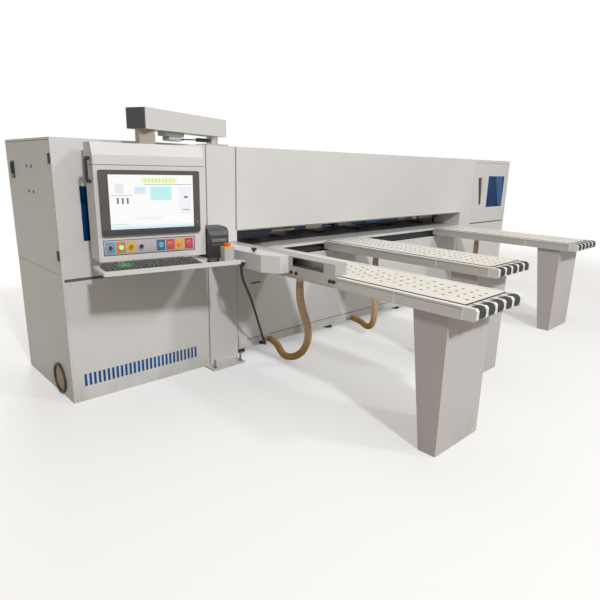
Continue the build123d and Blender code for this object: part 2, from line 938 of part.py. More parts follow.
def ribbed_hose(route, ribs, name):
    """Ribbed hose with plain cuffs and its bore; neighbouring ribs share the circle at their root."""
    path = route_path(route, name)
    pitch = (path.length - 2 * hose_cuff) / ribs
    stations = [(0, hose_root)]
    for i in range(ribs):
        for share, radius in ((0, hose_root), (0.5, hose_radius)):
            stations.append((hose_cuff + (i + share) * pitch, radius))
    stations += [(path.length - hose_cuff, hose_root), (path.length, hose_root)]
    rings = [station(path, distance / path.length) * Circle(radius) for distance, radius in stations]
    bore = sweep(station(path, 0) * RegularPolygon(hose_bore, 6), path=path)
    return loft(rings, ruled=True) - bore


def station(path, share):
    """Plane across a route, turned the same way all along it."""
    return Plane(path @ share, x_dir=(1, 0, 0), z_dir=path % share)


def air_hoses():
    """The three hoses from the tables to the base."""
    return group([ribbed_hose(route, ribs, f"hose with {ribs} ribs")
                  for route, ribs in zip(hose_routes, rib_counts)])


def control_cable():
    """Cable from the fence cover to the base."""
    path = route_path(cable_route, "cable")
    section = RegularPolygon(cable_radius, 8)
    cable = sweep(station(path, 0) * section, path=path)
    print("cable volume share", round(cable.volume / (section.area * path.length), 3))
    return cable


def spigot(end, direction):
    """Pipe stub with a square flange, from the end of a hose to the wall behind it."""
    seat = Vector(*end) + Vector(*direction) * (spigot_length - spigot_plate)
    side = 2 * (hose_root + spigot_flange)
    flange = extrude(Plane(seat, z_dir=direction) * Rectangle(side, side), spigot_plate)
    pipe = bar(end, direction, spigot_length, hose_root, 12) + flange
    return pipe - bar(end, direction, spigot_length, hose_bore, 6)


def gland(end, direction):
    """Cable gland with a hexagon nut against its wall."""
    base = Vector(*end) + Vector(*direction) * (gland_length / 2)
    nut = bar(base, direction, gland_length / 2, gland_radius, 6)
    return bar(end, direction, gland_length, gland_body, 12) + nut


def dust_port():
    """Port with a raised rim, closed by a cap and plugged into the shell."""
    base = (-port_reach, port_y, port_z)
    port = rod(base, (1, 0, 0), port_reach, port_radius)
    port += rod(base, (1, 0, 0), port_reach + port_inside, port_plug)
    return port - rod(base, (1, 0, 0), port_reach - port_cap, port_recess)


def service_fittings():
    """Dust port, hose spigots, and the cable's gland and elbow."""
    pieces = [dust_port()]
    for route in hose_routes:
        pieces.append(spigot(route[0], (0, 0, 1)))
        pieces.append(spigot(route[-1], (0, 1, 0)))
    x, y, z = cable_route[0]
    elbow = span((x - gland_radius, aligner_left), around(y, gland_radius),
                 (z + gland_length, z + gland_length + elbow_height))
    pieces.append(gland(cable_route[0], (0, 0, 1)) + elbow)
    pieces.append(gland(cable_route[-1], (0, 1, 0)))
    return group(pieces)


def arm_post():
    """Bolted pivot post on top of the column."""
    plate_top = machine_height + post_plate
    post = span(post_plate_x, post_plate_y, (machine_height, plate_top))
    post += rod((*arm_axis, plate_top), (0, 0, 1), arm_low - hang_gap - plate_top, post_radius)
    return post + bar((*arm_axis, plate_top), (0, 0, 1), arm_low + pivot_depth - plate_top, pivot_radius,
                      shaft_sides)


def swing_arm():
    """Box tube with a bored boss over each upright axis."""
    half = arm_width / 2
    along = (-arm_overhang, arm_length + arm_overhang)
    arm = span(along, (-half, half), (arm_low, arm_low + arm_size))
    arm -= span((along[0] - 1, along[1] + 1), around(0, half - arm_wall),
                (arm_low + arm_wall, arm_low + arm_size - arm_wall))
    for x in (0, arm_length):
        arm += bar((x, 0, arm_low), (0, 0, 1), pivot_depth + pivot_spare + boss_cap, boss_radius, shaft_sides)
        arm -= bar_hole((x, 0, arm_low - 1), (0, 0, 1), pivot_depth + pivot_spare + 1, pivot_radius,
                        shaft_sides)
    return arm_place * arm


def arm_caps():
    """Moulded caps on both ends of the arm."""
    middle = arm_low + arm_size / 2
    caps = []
    for x, way in ((-arm_overhang, -1), (arm_length + arm_overhang, 1)):
        cap = span(sorted((x, x + way * arm_cap)), around(0, arm_width / 2), around(middle, arm_size / 2))
        outer = cap.faces().sort_by(Axis.X)[-1 if way > 0 else 0]
        caps.append(arm_place * chamfer(outer.edges(), arm_cap / 2))
    return group(caps)


def console_outline(wall):
    """Side of the console housing, bevelled at its top front edge."""
    front = housing_front + wall
    back = housing_back - wall
    top = housing_top - wall
    return [(front, housing_low + wall), (front, bevel_low - wall / 2), (front + bevel_depth, top),
            (back, top), (back, housing_low + wall)]


def button_place(index):
    """X of a button in the row."""
    return button_first + index * button_pitch


def console_housing():
    """Sheet housing with the button holes and the hanger that turns in the arm."""
    inside = (housing_x[0] + housing_wall, housing_x[1] - housing_wall)
    housing = prism_x(console_outline(0), housing_x) - prism_x(console_outline(housing_wall), inside)
    for index in button_places:
        housing -= bar_hole((button_place(index), housing_front - 1, button_z), (0, 1, 0),
                            housing_wall + 2, button_stem, 8)
    housing += span(*[around(0, half) for half in hanger_half], (housing_top, arm_low - hang_gap))
    housing += bar((0, 0, housing_top), (0, 0, 1), arm_low + pivot_depth - housing_top, pivot_radius,
                   shaft_sides)
    return console_place * housing


def monitor():
    """Screen housing on the front of the console, with a recess for the glass."""
    front = housing_front - monitor_depth
    case = span(monitor_x, (front, housing_front), monitor_z)
    case = fillet(case.edges().filter_by(Axis.Y), monitor_corner)
    return console_place * (case - span(screen_x, (front - 1, front + screen_recess), screen_z))


def push_button(index):
    """Round button with its stem through the housing."""
    x = button_place(index)
    front = housing_front - button_reach
    cap = rod((x, front, button_z), (0, 1, 0), button_cap, button_radius)
    return console_place * (cap + button_stud(x, front))


def selector(index):
    """Turning knob with a grip bar, on a stem through the housing."""
    x = button_place(index)
    front = housing_front - button_reach
    knob = bar((x, front + button_cap / 2, button_z), (0, 1, 0), button_cap / 2, button_radius, 12)
    knob += span(around(x, button_stem / 2), (front - button_cap / 2, front + button_cap),
                 around(button_z, button_radius - 1))
    return console_place * (knob + button_stud(x, front + button_cap / 2))


def button_stud(x, front):
    """Stem of a panel control, through the housing to the switch behind it."""
    return bar((x, front, button_z), (0, 1, 0), housing_front + button_depth - front, button_stem, 8)


def tray_plan(wall):
    """Plan of the tray, with a shelf behind its right end for the printer."""
    left, right = tray_x
    return [(left + wall, tray_front + wall), (right - wall, tray_front + wall),
            (right - wall, shelf_back - wall), (shelf_left + wall, shelf_back - wall),
            (shelf_left + wall, tray_back - wall), (left + wall, tray_back - wall)]


def keyboard_tray():
    """Folded tray with a front lip, hung under the housing on two brackets."""
    tray = prism_z(tray_plan(0), (tray_low, tray_high))
    tray -= prism_z(tray_plan(tray_wall), (tray_low - 1, tray_high - tray_wall))
    tray += span(tray_x, (tray_front, tray_front + tray_wall), (tray_low, tray_high + tray_lip))
    tray += [span(around(x, bracket_width / 2), (bracket_front, tray_back), (tray_low, housing_low))
             for x in bracket_x]
    return console_place * tray


def keyboard():
    """Wedge keyboard on the tray."""
    front, back = keyboard_y
    outline = [(front, tray_high), (front, tray_high + keyboard_front),
               (back, tray_high + keyboard_height), (back, tray_high)]
    return console_place * prism_x(outline, keyboard_x)


def label_printer():
    """Lower case of the label printer."""
    case = span(printer_x, printer_y, (tray_high, printer_split))
    return console_place * chamfer(case.edges().filter_by(Axis.Z), printer_bevel)


def printer_lid():
    """Upper case, hinged along its back edge."""
    low = printer_split + lid_gap
    left, right = printer_x
    front = printer_y[0]
    back = printer_y[1] - 2 * knuckle_radius
    brow = [(front + inset, printer_top - drop) for inset, drop in lid_brow]
    corner = front + printer_bevel
    plan = [(left, back), (left, corner), (left + printer_bevel, front), (right - printer_bevel, front),
            (right, corner), (right, back)]
    lid = prism_x([(back, low), (front, low), *brow, (back, printer_top)], printer_x)
    lid &= prism_z(plan, (low, printer_top))
    middle = sum(printer_x) / 2
    axis_y, axis_z = printer_hinge
    barrel = rod((middle - knuckle_half, axis_y, axis_z), (1, 0, 0), 2 * knuckle_half, knuckle_radius)
    web = span(around(middle, knuckle_half), (printer_y[1] - 3 * knuckle_radius, axis_y),
               around(axis_z, knuckle_radius / 2))
    return console_place * (lid + [barrel, web])


def stop_box():
    """Box of the emergency stop on the tray."""
    case = span(stop_box_x, stop_box_y, (tray_high, stop_box_top))
    case = chamfer(case.edges().filter_by(Axis.Z), stop_bevel)
    middle = (sum(stop_box_x) / 2, sum(stop_box_y) / 2)
    bore = rod((*middle, stop_box_top - stop_bore), (0, 0, 1), stop_bore + 1, stop_stem + fit_gap)
    return console_place * (case - bore)


def stop_button():
    """Mushroom head on its stem."""
    middle = (sum(stop_box_x) / 2, sum(stop_box_y) / 2)
    head = rod((*middle, stop_box_top + stop_rise), (0, 0, 1), stop_cap, stop_radius)
    head = chamfer(head.edges().group_by(Axis.Z)[-1], stop_bevel)
    stem = bar((*middle, stop_box_top - stop_engage), (0, 0, 1), stop_engage + stop_rise, stop_stem, 8)
    return console_place * (head + stem)


def console_handle():
    """Bow handle on the console's left side."""
    side = housing_x[0]
    low, high = handle_z
    outer = side - handle_reach
    grip = handle_bar
    bow = [(side, low), (side, low + grip), (outer + grip, low + 1.5 * grip),
           (outer + grip, high - 1.5 * grip), (side, high - grip), (side, high),
           (outer + grip / 2, high), (outer, high - grip), (outer, low + grip), (outer + grip / 2, low)]
    return console_place * prism_y(bow, around(handle_y, grip / 2))


def right_tower():
    """Right end housing, open below and towards the base, with the access opening in front."""
    across = (tower_left, machine_length)
    tower = hollow_box(across, (0, body_depth), (0, machine_height), cover_sheet)
    tower -= span((across[0] + cover_sheet, across[1] - cover_sheet),
                  (cover_sheet, body_depth - cover_sheet), (-1, cover_sheet + 1))
    wall = (tower_left - 1, tower_left + cover_sheet + 1)
    tower -= span(wall, (base_front - base_clear, base_back + base_clear), (-1, table_height + table_clear))
    tower -= span(wall, blade_slit, (table_height, blade_slit_top))
    return tower - span((access_left - door_gap, access_right + door_gap), (-1, cover_sheet + 1),
                        (access_low - door_gap, access_high + door_gap))


def right_door():
    """Access door with a window, hinged on its right edge."""
    door = folded_door((access_left, access_right), (access_low, access_high), door_depth)
    door -= span(tower_window_x, (-1, cover_sheet + 1), tower_window_z)
    axis_x = access_right + door_gap + hinge_radius
    axis_y = -hinge_radius - hinge_standoff
    heights = (access_low + access_hinge, access_high - access_hinge)
    leaf = ((access_right - hinge_leaf, axis_x), (-leaf_thickness, 0))
    return door + hinge_knuckles(axis_x, axis_y, heights, leaf)


def right_window():
    """Tinted pane inside the access door."""
    wide = (tower_window_x[0] - pane_lap, tower_window_x[1] + pane_lap)
    high = (tower_window_z[0] - pane_lap, tower_window_z[1] + pane_lap)
    return span(wide, (cover_sheet, cover_sheet + pane_thickness), high)


def rear_frame():
    """Side beams with the feeder's track, their legs and the cross beams."""
    pieces = []
    inner = (side_beam_lefts[0] + side_beam_width, side_beam_lefts[1])
    for left in side_beam_lefts:
        wide = (left, left + side_beam_width)
        middle = left + side_beam_width / 2
        beam = span(wide, (base_back, rear_reach), (side_beam_low, side_beam_high))
        beam += span(around(middle, track_width / 2), (base_back, rear_reach), (side_beam_high, track_high))
        pieces.append(beam)
        for line in rear_leg_lines:
            foot = span(around(middle, rear_foot / 2), around(line, rear_foot / 2), (0, base_plate))
            pieces.append(foot + span(wide, around(line, rear_leg_size / 2), (base_plate, side_beam_low)))
    for line in rear_leg_lines:
        pieces.append(span(inner, around(line, cross_beam_width / 2), (cross_beam_low, support_low)))
    return group(pieces)


def rear_supports():
    """Roller tracks that carry the panel behind the saw."""
    along = (base_back, rear_reach - support_end_gap)
    return group([span(around(x, support_width / 2), along, (support_low, support_high))
                  for x in support_stations])


def feeder_gantry():
    """Pusher beam across the rear table, on a truck at each side."""
    back = gantry_front + gantry_depth
    across = (side_beam_lefts[0] - gantry_overhang, side_beam_lefts[1] + side_beam_width + gantry_overhang)
    beam = span(across, (gantry_front, back), (gantry_low, gantry_high))
    beam -= span((across[0] - 1, across[1] + 1), (gantry_front + gantry_wall, back - gantry_wall),
                 (gantry_low + gantry_wall, gantry_high - gantry_wall))
    trucks = [span((left, left + side_beam_width), (truck_front, truck_back),
                   (track_high + hang_gap, gantry_low)) for left in side_beam_lefts]
    return beam + trucks


def gripper_bodies():
    """Lower jaws and forked blocks bolted to the pusher beam, slotted for the jaw pins."""
    bodies = []
    line_y, line_z = jaw_pivot
    for x in grippers:
        wide = around(x, gripper_width / 2)
        body = span(wide, (gripper_block, gantry_front), (gripper_low, gripper_high))
        body += span(wide, (gripper_tip, gripper_block), (gripper_low, gripper_low + gripper_plate))
        body -= span(around(x, jaw_width / 2 + jaw_gap), (gripper_block - 1, line_y + fork_depth),
                     (line_z - fork_depth, gripper_high + 1))
        bodies.append(body - span(wide, around(line_y, jaw_pin + fit_gap),
                                  (line_z - jaw_pin - fit_gap, gripper_high + 1)))
    return group(bodies)


def gripper_jaws():
    """Upper jaws on pins in the forks."""
    line_y, line_z = jaw_pivot
    nose = jaw_tip + jaw_nose
    tail = line_y + jaw_tail
    low = line_z - jaw_drop
    outline = [(jaw_tip, low), (jaw_tip, line_z), (nose, line_z + jaw_rise), (tail, line_z + jaw_rise),
               (tail, line_z - jaw_web), (nose, line_z - jaw_web), (jaw_tip + jaw_pad, low)]
    jaws = []
    for x in grippers:
        start, end = around(x, gripper_width / 2 - pin_inset)
        pin = bar((start, line_y, line_z), (1, 0, 0), end - start, jaw_pin, 8)
        jaws.append(prism_x(outline, around(x, jaw_width / 2)) + pin)
    return group(jaws)


nodes = {
    "base_frame": base_frame(),
    "levelling_feet": levelling_feet(),
    "cabinet_shell": cabinet_shell(),
    "vent_panel": vent_panel(),
    "cabinet_window": cabinet_window(),
    "cabinet_door": cabinet_door(),
    "electrical_plate": electrical_plate(),
    "air_blower": air_blower(),
    "column_post": column_post(),
    "beam_cover": beam_cover(),
    "bridge_beam": bridge_beam(),
    "lift_cylinders": lift_cylinders(),
    "pressure_beam": pressure_beam(),
    "lower_front_panel": lower_front_panel(),
    "saw_table": saw_table(),
    "carriage_rails": carriage_rails(),
    "saw_carriage": saw_carriage(),
    "saw_unit": saw_unit(),
    "saw_motors": saw_motors(),
    "main_blade": blade_on_arbor(carriage_x + main_offset, main_z, main_radius, main_teeth,
                                 main_flange, main_shaft),
    "scoring_blade": blade_on_arbor(carriage_x + scoring_offset, scoring_z, scoring_radius,
                                    scoring_teeth, scoring_flange, scoring_shaft),
    "air_tables": air_tables(),
    "table_tops": table_tops(),
    "table_legs": table_legs(),
    "side_fence": side_fence(),
    "fence_cover": fence_cover(),
    "air_hoses": air_hoses(),
    "control_cable": control_cable(),
    "service_fittings": service_fittings(),
    "arm_post": arm_post(),
    "swing_arm": swing_arm(),
    "arm_caps": arm_caps(),
    "console_housing": console_housing(),
    "monitor": monitor(),
    "keyboard_tray": keyboard_tray(),
    "keyboard": keyboard(),
    "label_printer": label_printer(),
    "printer_lid": printer_lid(),
    "stop_box": stop_box(),
    "stop_button": stop_button(),
    "console_handle": console_handle(),
    "right_tower": right_tower(),
    "right_door": right_door(),
    "right_window": right_window(),
    "rear_frame": rear_frame(),
    "rear_supports": rear_supports(),
    "feeder_gantry": feeder_gantry(),
    "gripper_bodies": gripper_bodies(),
    "gripper_jaws": gripper_jaws(),
    "power_switch": selector(0),
    "start_button": push_button(1),
    "mode_switch": selector(2),
    "height_switch": selector(3),
    "clamp_button": push_button(5),
    "return_button": push_button(6),
    "air_button": push_button(7),
    "cancel_button": push_button(8),
}
for number, (left, reach) in enumerate(zip(table_lefts, table_reaches), 1):
    nodes[f"front_rollers_{number}"] = front_rollers(left, reach)

os.makedirs("parts", exist_ok=True)
for name, shape in nodes.items():
    export_step(origin_shift * shape, f"parts/{name}.step")
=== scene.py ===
"""Looks of a panel beam saw: finishes, hoses, console details and studio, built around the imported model."""
import json
from math import atan2, cos, pi, radians, sin

import bmesh
import bpy
from bpy.props import FloatProperty, FloatVectorProperty, IntProperty, PointerProperty
from mathutils import Matrix, Vector


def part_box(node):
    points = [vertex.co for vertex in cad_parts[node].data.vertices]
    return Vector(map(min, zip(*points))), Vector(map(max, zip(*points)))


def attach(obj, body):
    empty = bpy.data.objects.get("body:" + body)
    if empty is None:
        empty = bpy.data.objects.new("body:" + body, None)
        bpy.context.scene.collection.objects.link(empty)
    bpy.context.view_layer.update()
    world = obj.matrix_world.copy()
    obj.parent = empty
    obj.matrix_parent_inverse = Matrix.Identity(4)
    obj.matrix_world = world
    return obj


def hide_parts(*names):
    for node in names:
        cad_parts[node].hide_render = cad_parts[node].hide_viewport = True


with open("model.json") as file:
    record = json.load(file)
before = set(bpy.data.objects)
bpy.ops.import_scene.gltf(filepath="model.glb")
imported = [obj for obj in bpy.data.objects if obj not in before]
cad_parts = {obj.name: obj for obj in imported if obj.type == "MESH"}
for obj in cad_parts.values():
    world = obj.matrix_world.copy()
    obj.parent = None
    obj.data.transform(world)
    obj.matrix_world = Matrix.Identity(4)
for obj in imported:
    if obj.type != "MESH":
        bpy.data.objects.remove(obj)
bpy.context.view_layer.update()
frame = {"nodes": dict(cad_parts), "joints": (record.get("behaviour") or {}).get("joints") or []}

bl_info = {
    "name": "Beam saw looks",
    "version": (1, 0, 0),
    "blender": (4, 5, 0),
    "location": "View3D > Sidebar > Beam saw",
    "description": "Finishes and fine pieces of a panel beam saw",
    "category": "Object",
}

# Routes of the free hoses and the cable, in metres from the machine's left front corner on the floor
first_hose = (
    (1.424, -0.781, 0.830), (1.424, -0.781, 0.730), (1.454, -0.774, 0.625), (1.519, -0.752, 0.520),
    (1.602, -0.706, 0.405), (1.674, -0.632, 0.262), (1.712, -0.528, 0.125), (1.706, -0.412, 0.048),
    (1.702, -0.285, 0.036), (1.745, -0.150, 0.119), (1.745, -0.050, 0.119))
second_hose = (
    (2.700, -0.480, 0.830), (2.700, -0.480, 0.660), (2.712, -0.487, 0.480), (2.735, -0.484, 0.270),
    (2.780, -0.428, 0.135), (2.840, -0.310, 0.070), (2.900, -0.165, 0.100), (2.900, -0.050, 0.100))
third_hose_step = 1.939
third_hose = tuple((x + third_hose_step, y, z) for x, y, z in second_hose)
cable_route = (
    (1.118, -0.470, 0.925), (1.118, -0.470, 0.855), (1.184, -0.438, 0.760), (1.290, -0.378, 0.615),
    (1.412, -0.290, 0.430), (1.520, -0.206, 0.280), (1.602, -0.142, 0.165), (1.658, -0.098, 0.103),
    (1.685, -0.060, 0.082), (1.685, -0.022, 0.082))

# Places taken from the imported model
joints = {joint["name"]: joint for joint in frame["joints"]}
left_front = Vector((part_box("cabinet_shell")[0].x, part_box("cabinet_shell")[0].y, 0))
button_push = Vector(joints["start_button_press"]["axis"])
swivel = Vector(joints["console_swivel"]["pos_m"])
console_at = Matrix((
    (button_push.y, button_push.x, 0, swivel.x),
    (-button_push.x, button_push.y, 0, swivel.y),
    (0, 0, 1, 0),
    (0, 0, 0, 1)))

# Directions that turned shapes and bolts face
leftward, rightward = (-1, 0, 0), (1, 0, 0)
frontward, upward = (0, -1, 0), (0, 0, 1)

# Distance in metres at which points count as one, and the least divisor
touching = 1e-6
tiny = 1e-9


def from_left(x, y, z):
    """Point in the row frame, from the left front corner of the cabinet on the floor."""
    return left_front + Vector((x, y, z))


def corners(points):
    """Lowest and highest corner of some points."""
    return Vector(map(min, zip(*points))), Vector(map(max, zip(*points)))


def console_points(node):
    """A node's points in the console's own frame."""
    inverse = console_at.inverted()
    return [inverse @ vertex.co for vertex in frame["nodes"][node].data.vertices]


def console_box(node):
    """Lowest and highest corner of a node in the console's own frame."""
    return corners(console_points(node))


def solids(node):
    """Boxes of a node's separate solids, from left to right."""
    mesh = bmesh.new()
    mesh.from_mesh(frame["nodes"][node].data)
    bmesh.ops.remove_doubles(mesh, verts=mesh.verts, dist=touching)
    waiting = set(mesh.verts)
    groups = []
    while waiting:
        group, edge = set(), {waiting.pop()}
        while edge:
            group |= edge
            edge = {other.other_vert(vertex) for vertex in edge for other in vertex.link_edges} - group
        waiting -= group
        groups.append(corners([vertex.co for vertex in group]))
    mesh.free()
    return sorted(groups, key=lambda box: box[0].x)


def beside(boxes):
    """Boxes joined where they overlap along X."""
    joined = [boxes[0]]
    for low, high in boxes[1:]:
        if low.x < joined[-1][1].x:
            joined[-1] = corners([*joined[-1], low, high])
        else:
            joined.append((low, high))
    return joined


def colour(name, text, value):
    """Colour setting."""
    return FloatVectorProperty(name=name, description=text, subtype="COLOR", size=3, min=0, max=1,
                               default=value)


def length(name, text, value):
    """Length setting, in metres."""
    return FloatProperty(name=name, description=text, unit="LENGTH", default=value, precision=4)


def angle(name, text, value):
    """Angle setting, from degrees."""
    return FloatProperty(name=name, description=text, subtype="ANGLE", default=radians(value))


def watts(name, value):
    """Setting of a lamp's power."""
    return FloatProperty(name=name, description="Power in watts", default=value, min=0)


class BeamSawColours(bpy.types.PropertyGroup):
    """Colours of the finishes"""
    cover: colour("Covers", "Powder coat of the sheet covers", (0.655, 0.648, 0.64))
    # The legs' colour is the cover colour darkened as painted shade under the tables
    legs: colour("Legs", "Powder coat of the table legs", (0.52, 0.49, 0.485))
    blue: colour("Frame blue", "Paint of the frame inside the covers", (0.012, 0.05, 0.17))
    dark: colour("Dark paint", "Paint of motors, blower and carriage", (0.035, 0.037, 0.042))
    aluminium: colour("Aluminium", "Anodised profiles", (0.56, 0.54, 0.51))
    steel: colour("Steel", "Ground and zinc plated steel", (0.47, 0.46, 0.45))
    cream: colour("Table tops", "Laminate of the air tables", (0.75, 0.72, 0.66))
    rubber: colour("Rubber", "Rollers, strips and cable", (0.016, 0.016, 0.017))
    case: colour("Case", "Keyboard, mouse and printer plastic", (0.05, 0.05, 0.05))
    hose: colour("Hose", "Ribbed air hoses", (0.86, 0.61, 0.40))
    glass: colour("Windows", "Tinted panes", (0.004, 0.040, 0.135))
    dirt: colour("Dirt", "Dust low on the covers", (0.36, 0.31, 0.25))


class BeamSawSizes(bpy.types.PropertyGroup):
    """Sizes of the fine pieces"""
    valve_pitch: length("Valve pitch", "Distance between air valves along a row", 0.075)
    valve_radius: length("Valve radius", "Rim of an air valve", 0.010)
    rib_pitch: length("Rib pitch", "Distance between hose ribs", 0.0125)
    rib_depth: length("Rib depth", "Height of a hose rib", 0.004)
    hose_radius: length("Hose radius", "Over the ribs", 0.031)
    hose_cuff: length("Hose cuff", "Plain end of a hose", 0.045)
    cable_radius: length("Cable radius", "Control cable", 0.0095)
    screw_radius: length("Screw radius", "Cover screw head", 0.007)
    wheel_radius: length("Track wheel radius", "Wheels of the rear supports", 0.024)
    wheel_pitch: length("Track wheel pitch", "Distance between wheels", 0.1)
    key_columns: IntProperty(name="Key columns", description="Keys in a row", default=22, min=1)
    key_rows: IntProperty(name="Key rows", description="Rows of keys", default=6, min=1)
    seam: length("Seam", "Width of the dark seams between covers", 0.007)


class BeamSawStage(bpy.types.PropertyGroup):
    """Camera and light"""
    camera_place: FloatVectorProperty(
        name="Camera", description="From the left front corner on the floor", subtype="XYZ", unit="LENGTH",
        default=(-1.12576, -3.46037, 1.65444))
    yaw: angle("Yaw", "Turn of the camera from +Y to +X", 43.644)
    pitch: angle("Pitch", "Downward tilt", 14.652)
    roll: angle("Roll", "Turn about the view axis", -1.352)
    lens: FloatProperty(name="Lens", description="Focal length", unit="CAMERA", default=30.538)
    right_power: watts("Right light", 270)
    front_power: watts("Front light", 960)
    back_power: watts("Back light", 350)
    top_power: watts("Top light", 110)
    lamp_tone: colour("Lamp tone", "Colour of the lamps", (0.94, 0.97, 1.0))
    ambient: FloatProperty(name="Ambient", description="Strength of the sky", default=0.43, min=0)
    warmth: colour("Warmth", "Colour of the ambient light", (1.0, 0.87, 0.70))
    floor: colour("Floor", "Pale studio floor", (0.86, 0.86, 0.86))


class BeamSawSettings(bpy.types.PropertyGroup):
    """All settings of the beam saw"""
    colours: PointerProperty(type=BeamSawColours)
    sizes: PointerProperty(type=BeamSawSizes)
    stage: PointerProperty(type=BeamSawStage)


class Value:
    """A number socket that takes part in Python sums."""

    def __init__(self, tree, socket):
        self.tree = tree
        self.socket = socket

    def calc(self, operation, first, second=0.0):
        """A Math node on one or two numbers."""
        made = self.tree.node("ShaderNodeMath", {"operation": operation}, {0: first, 1: second})
        return Value(self.tree, made.outputs[0])

    def __add__(self, other):
        return self.calc("ADD", self, other)

    def __sub__(self, other):
        return self.calc("SUBTRACT", self, other)

    def __rsub__(self, other):
        return self.calc("SUBTRACT", other, self)

    def __mul__(self, other):
        return self.calc("MULTIPLY", self, other)

    def __truediv__(self, other):
        return self.calc("DIVIDE", self, other)

    def __gt__(self, other):
        return self.calc("GREATER_THAN", self, other)

    def __lt__(self, other):
        return self.calc("LESS_THAN", self, other)

    def cosine(self):
        """Cosine of an angle in radians."""
        return self.calc("COSINE", self)

    __radd__ = __add__
    __rmul__ = __mul__


class Tree:
    """A node tree under construction."""

    def __init__(self, tree):
        self.tree = tree
        tree.nodes.clear()

    def node(self, kind, settings=None, inputs=None):
        """Adds a node with its settings, then its values and links."""
        made = self.tree.nodes.new(kind)
        for key, value in (settings or {}).items():
            setattr(made, key, value)
        for key, value in (inputs or {}).items():
            value = value.socket if isinstance(value, Value) else value
            if isinstance(value, bpy.types.NodeSocket):
                self.tree.links.new(value, made.inputs[key])
            else:
                made.inputs[key].default_value = value
        return made


class Finish(Tree):
    """A material under construction, on Object coordinates."""

    def __init__(self, name, **sockets):
        self.material = bpy.data.materials.new(name)
        self.material.use_nodes = True
        super().__init__(self.material.node_tree)
        plain = {key.replace("_", " "): value for key, value in sockets.items()}
        self.shader = self.node("ShaderNodeBsdfPrincipled", None, plain)
        self.node("ShaderNodeOutputMaterial", None, {"Surface": self.shader.outputs[0]})
        self.place = self.node("ShaderNodeTexCoord").outputs["Object"]

    def axes(self, place=None):
        """X, Y and Z of a place."""
        parts = self.node("ShaderNodeSeparateXYZ", None, {0: place or self.place})
        return [Value(self, socket) for socket in parts.outputs]

    def away(self, place):
        """Distance from a place."""
        made = self.node("ShaderNodeVectorMath", {"operation": "DISTANCE"}, {0: self.place, 1: place})
        return Value(self, made.outputs["Value"])

    def noise(self, scale, detail=3, stretch=(1, 1, 1)):
        """Cloudy value from 0 to 1."""
        place = self.place
        if stretch != (1, 1, 1):
            place = self.node("ShaderNodeMapping", None, {"Vector": place, "Scale": stretch}).outputs[0]
        made = self.node("ShaderNodeTexNoise", None, {"Vector": place, "Scale": scale, "Detail": detail})
        return Value(self, made.outputs["Fac"])

    def fade(self, value, low, high):
        """0 at low and 1 at high, with soft ends."""
        made = self.node("ShaderNodeMapRange", {"interpolation_type": "SMOOTHSTEP"},
                         {"Value": value, "From Min": low, "From Max": high})
        return Value(self, made.outputs["Result"])

    def blend(self, factor, first, second):
        """Colour between two."""
        pair = [(*each, 1) if isinstance(each, tuple) else each for each in (first, second)]
        made = self.node("ShaderNodeMix", {"data_type": "RGBA"}, {0: factor, 6: pair[0], 7: pair[1]})
        return made.outputs[2]

    def mottle(self, factor, shade, first, second):
        """Colour between two shares of one shade."""
        return self.blend(factor, tint(shade, first), tint(shade, second))

    def feed(self, **links):
        """Values and colours into the shader."""
        for key, value in links.items():
            socket = value.socket if isinstance(value, Value) else value
            self.tree.links.new(socket, self.shader.inputs[key.replace("_", " ")])

    def rough(self, height, distance, strength):
        """Relief on the surface."""
        made = self.node("ShaderNodeBump", None,
                         {"Height": height, "Distance": distance, "Strength": strength})
        self.feed(Normal=made.outputs[0])


finishes = {}


def finish(maker):
    """Makes each finish once for each set of arguments."""
    def once(*arguments):
        key = (maker.__name__, *arguments)
        if key not in finishes:
            finishes[key] = maker(*arguments)
        return finishes[key]
    return once


def tint(shade, share):
    """A colour made lighter or darker."""
    return tuple(min(1.0, channel * share) for channel in shade)


def palette(name):
    """One of the colour settings."""
    return tuple(getattr(bpy.context.scene.beam_saw.colours, name))


def powder_coat(made, shade, roughness=0.40):
    """Sheen and fine orange peel of baked powder paint; gives its colour, with dust low down."""
    dust_height, dust_share = 0.3, 0.4
    cloud = made.noise(0.9)
    smear = made.noise(5, detail=4, stretch=(1, 1, 0.35))
    peel = made.noise(650, detail=2)
    height = made.axes()[2]
    tone = made.mottle(made.fade(cloud, 0.3, 0.7), shade, 0.955, 1.03)
    dust = (1 - made.fade(height, 0.0, dust_height)) * made.fade(smear, 0.42, 0.72) * dust_share
    made.feed(Roughness=roughness + 0.14 * smear)
    made.rough(peel, distance=0.0003, strength=0.25)
    return made.blend(dust, tone, palette("dirt"))


@finish
def cover_paint(name="cover_paint", shade="cover"):
    """Light powder coat of the covers; the legs take a darker copy as painted shade under the tables."""
    made = Finish(name)
    made.feed(Base_Color=powder_coat(made, palette(shade)))
    return made.material


@finish
def coated(name, axis, limit, sign, other):
    """Cover paint up to a limit along one axis, and another colour past it."""
    made = Finish(name)
    tone = powder_coat(made, palette("cover"))
    past = (made.axes()[axis] - limit) * sign > 0
    made.feed(Base_Color=made.blend(past, tone, other))
    return made.material


@finish
def base_paint():
    """Pale paint on the base's front and foot, and dark paint behind them that also serves as painted shade
    in the recess.
    """
    recess_depth, foot_height = 0.03, 0.1
    made = Finish("base_paint")
    tone = powder_coat(made, tint(palette("cover"), 0.95), roughness=0.42)
    _, y, z = made.axes()
    # Dark paint behind the front, also painted shade of the recess
    recess_paint_and_shade = (y > left_front.y + recess_depth) * (z > foot_height)
    made.feed(Base_Color=made.blend(recess_paint_and_shade, tone, palette("dark")))
    return made.material


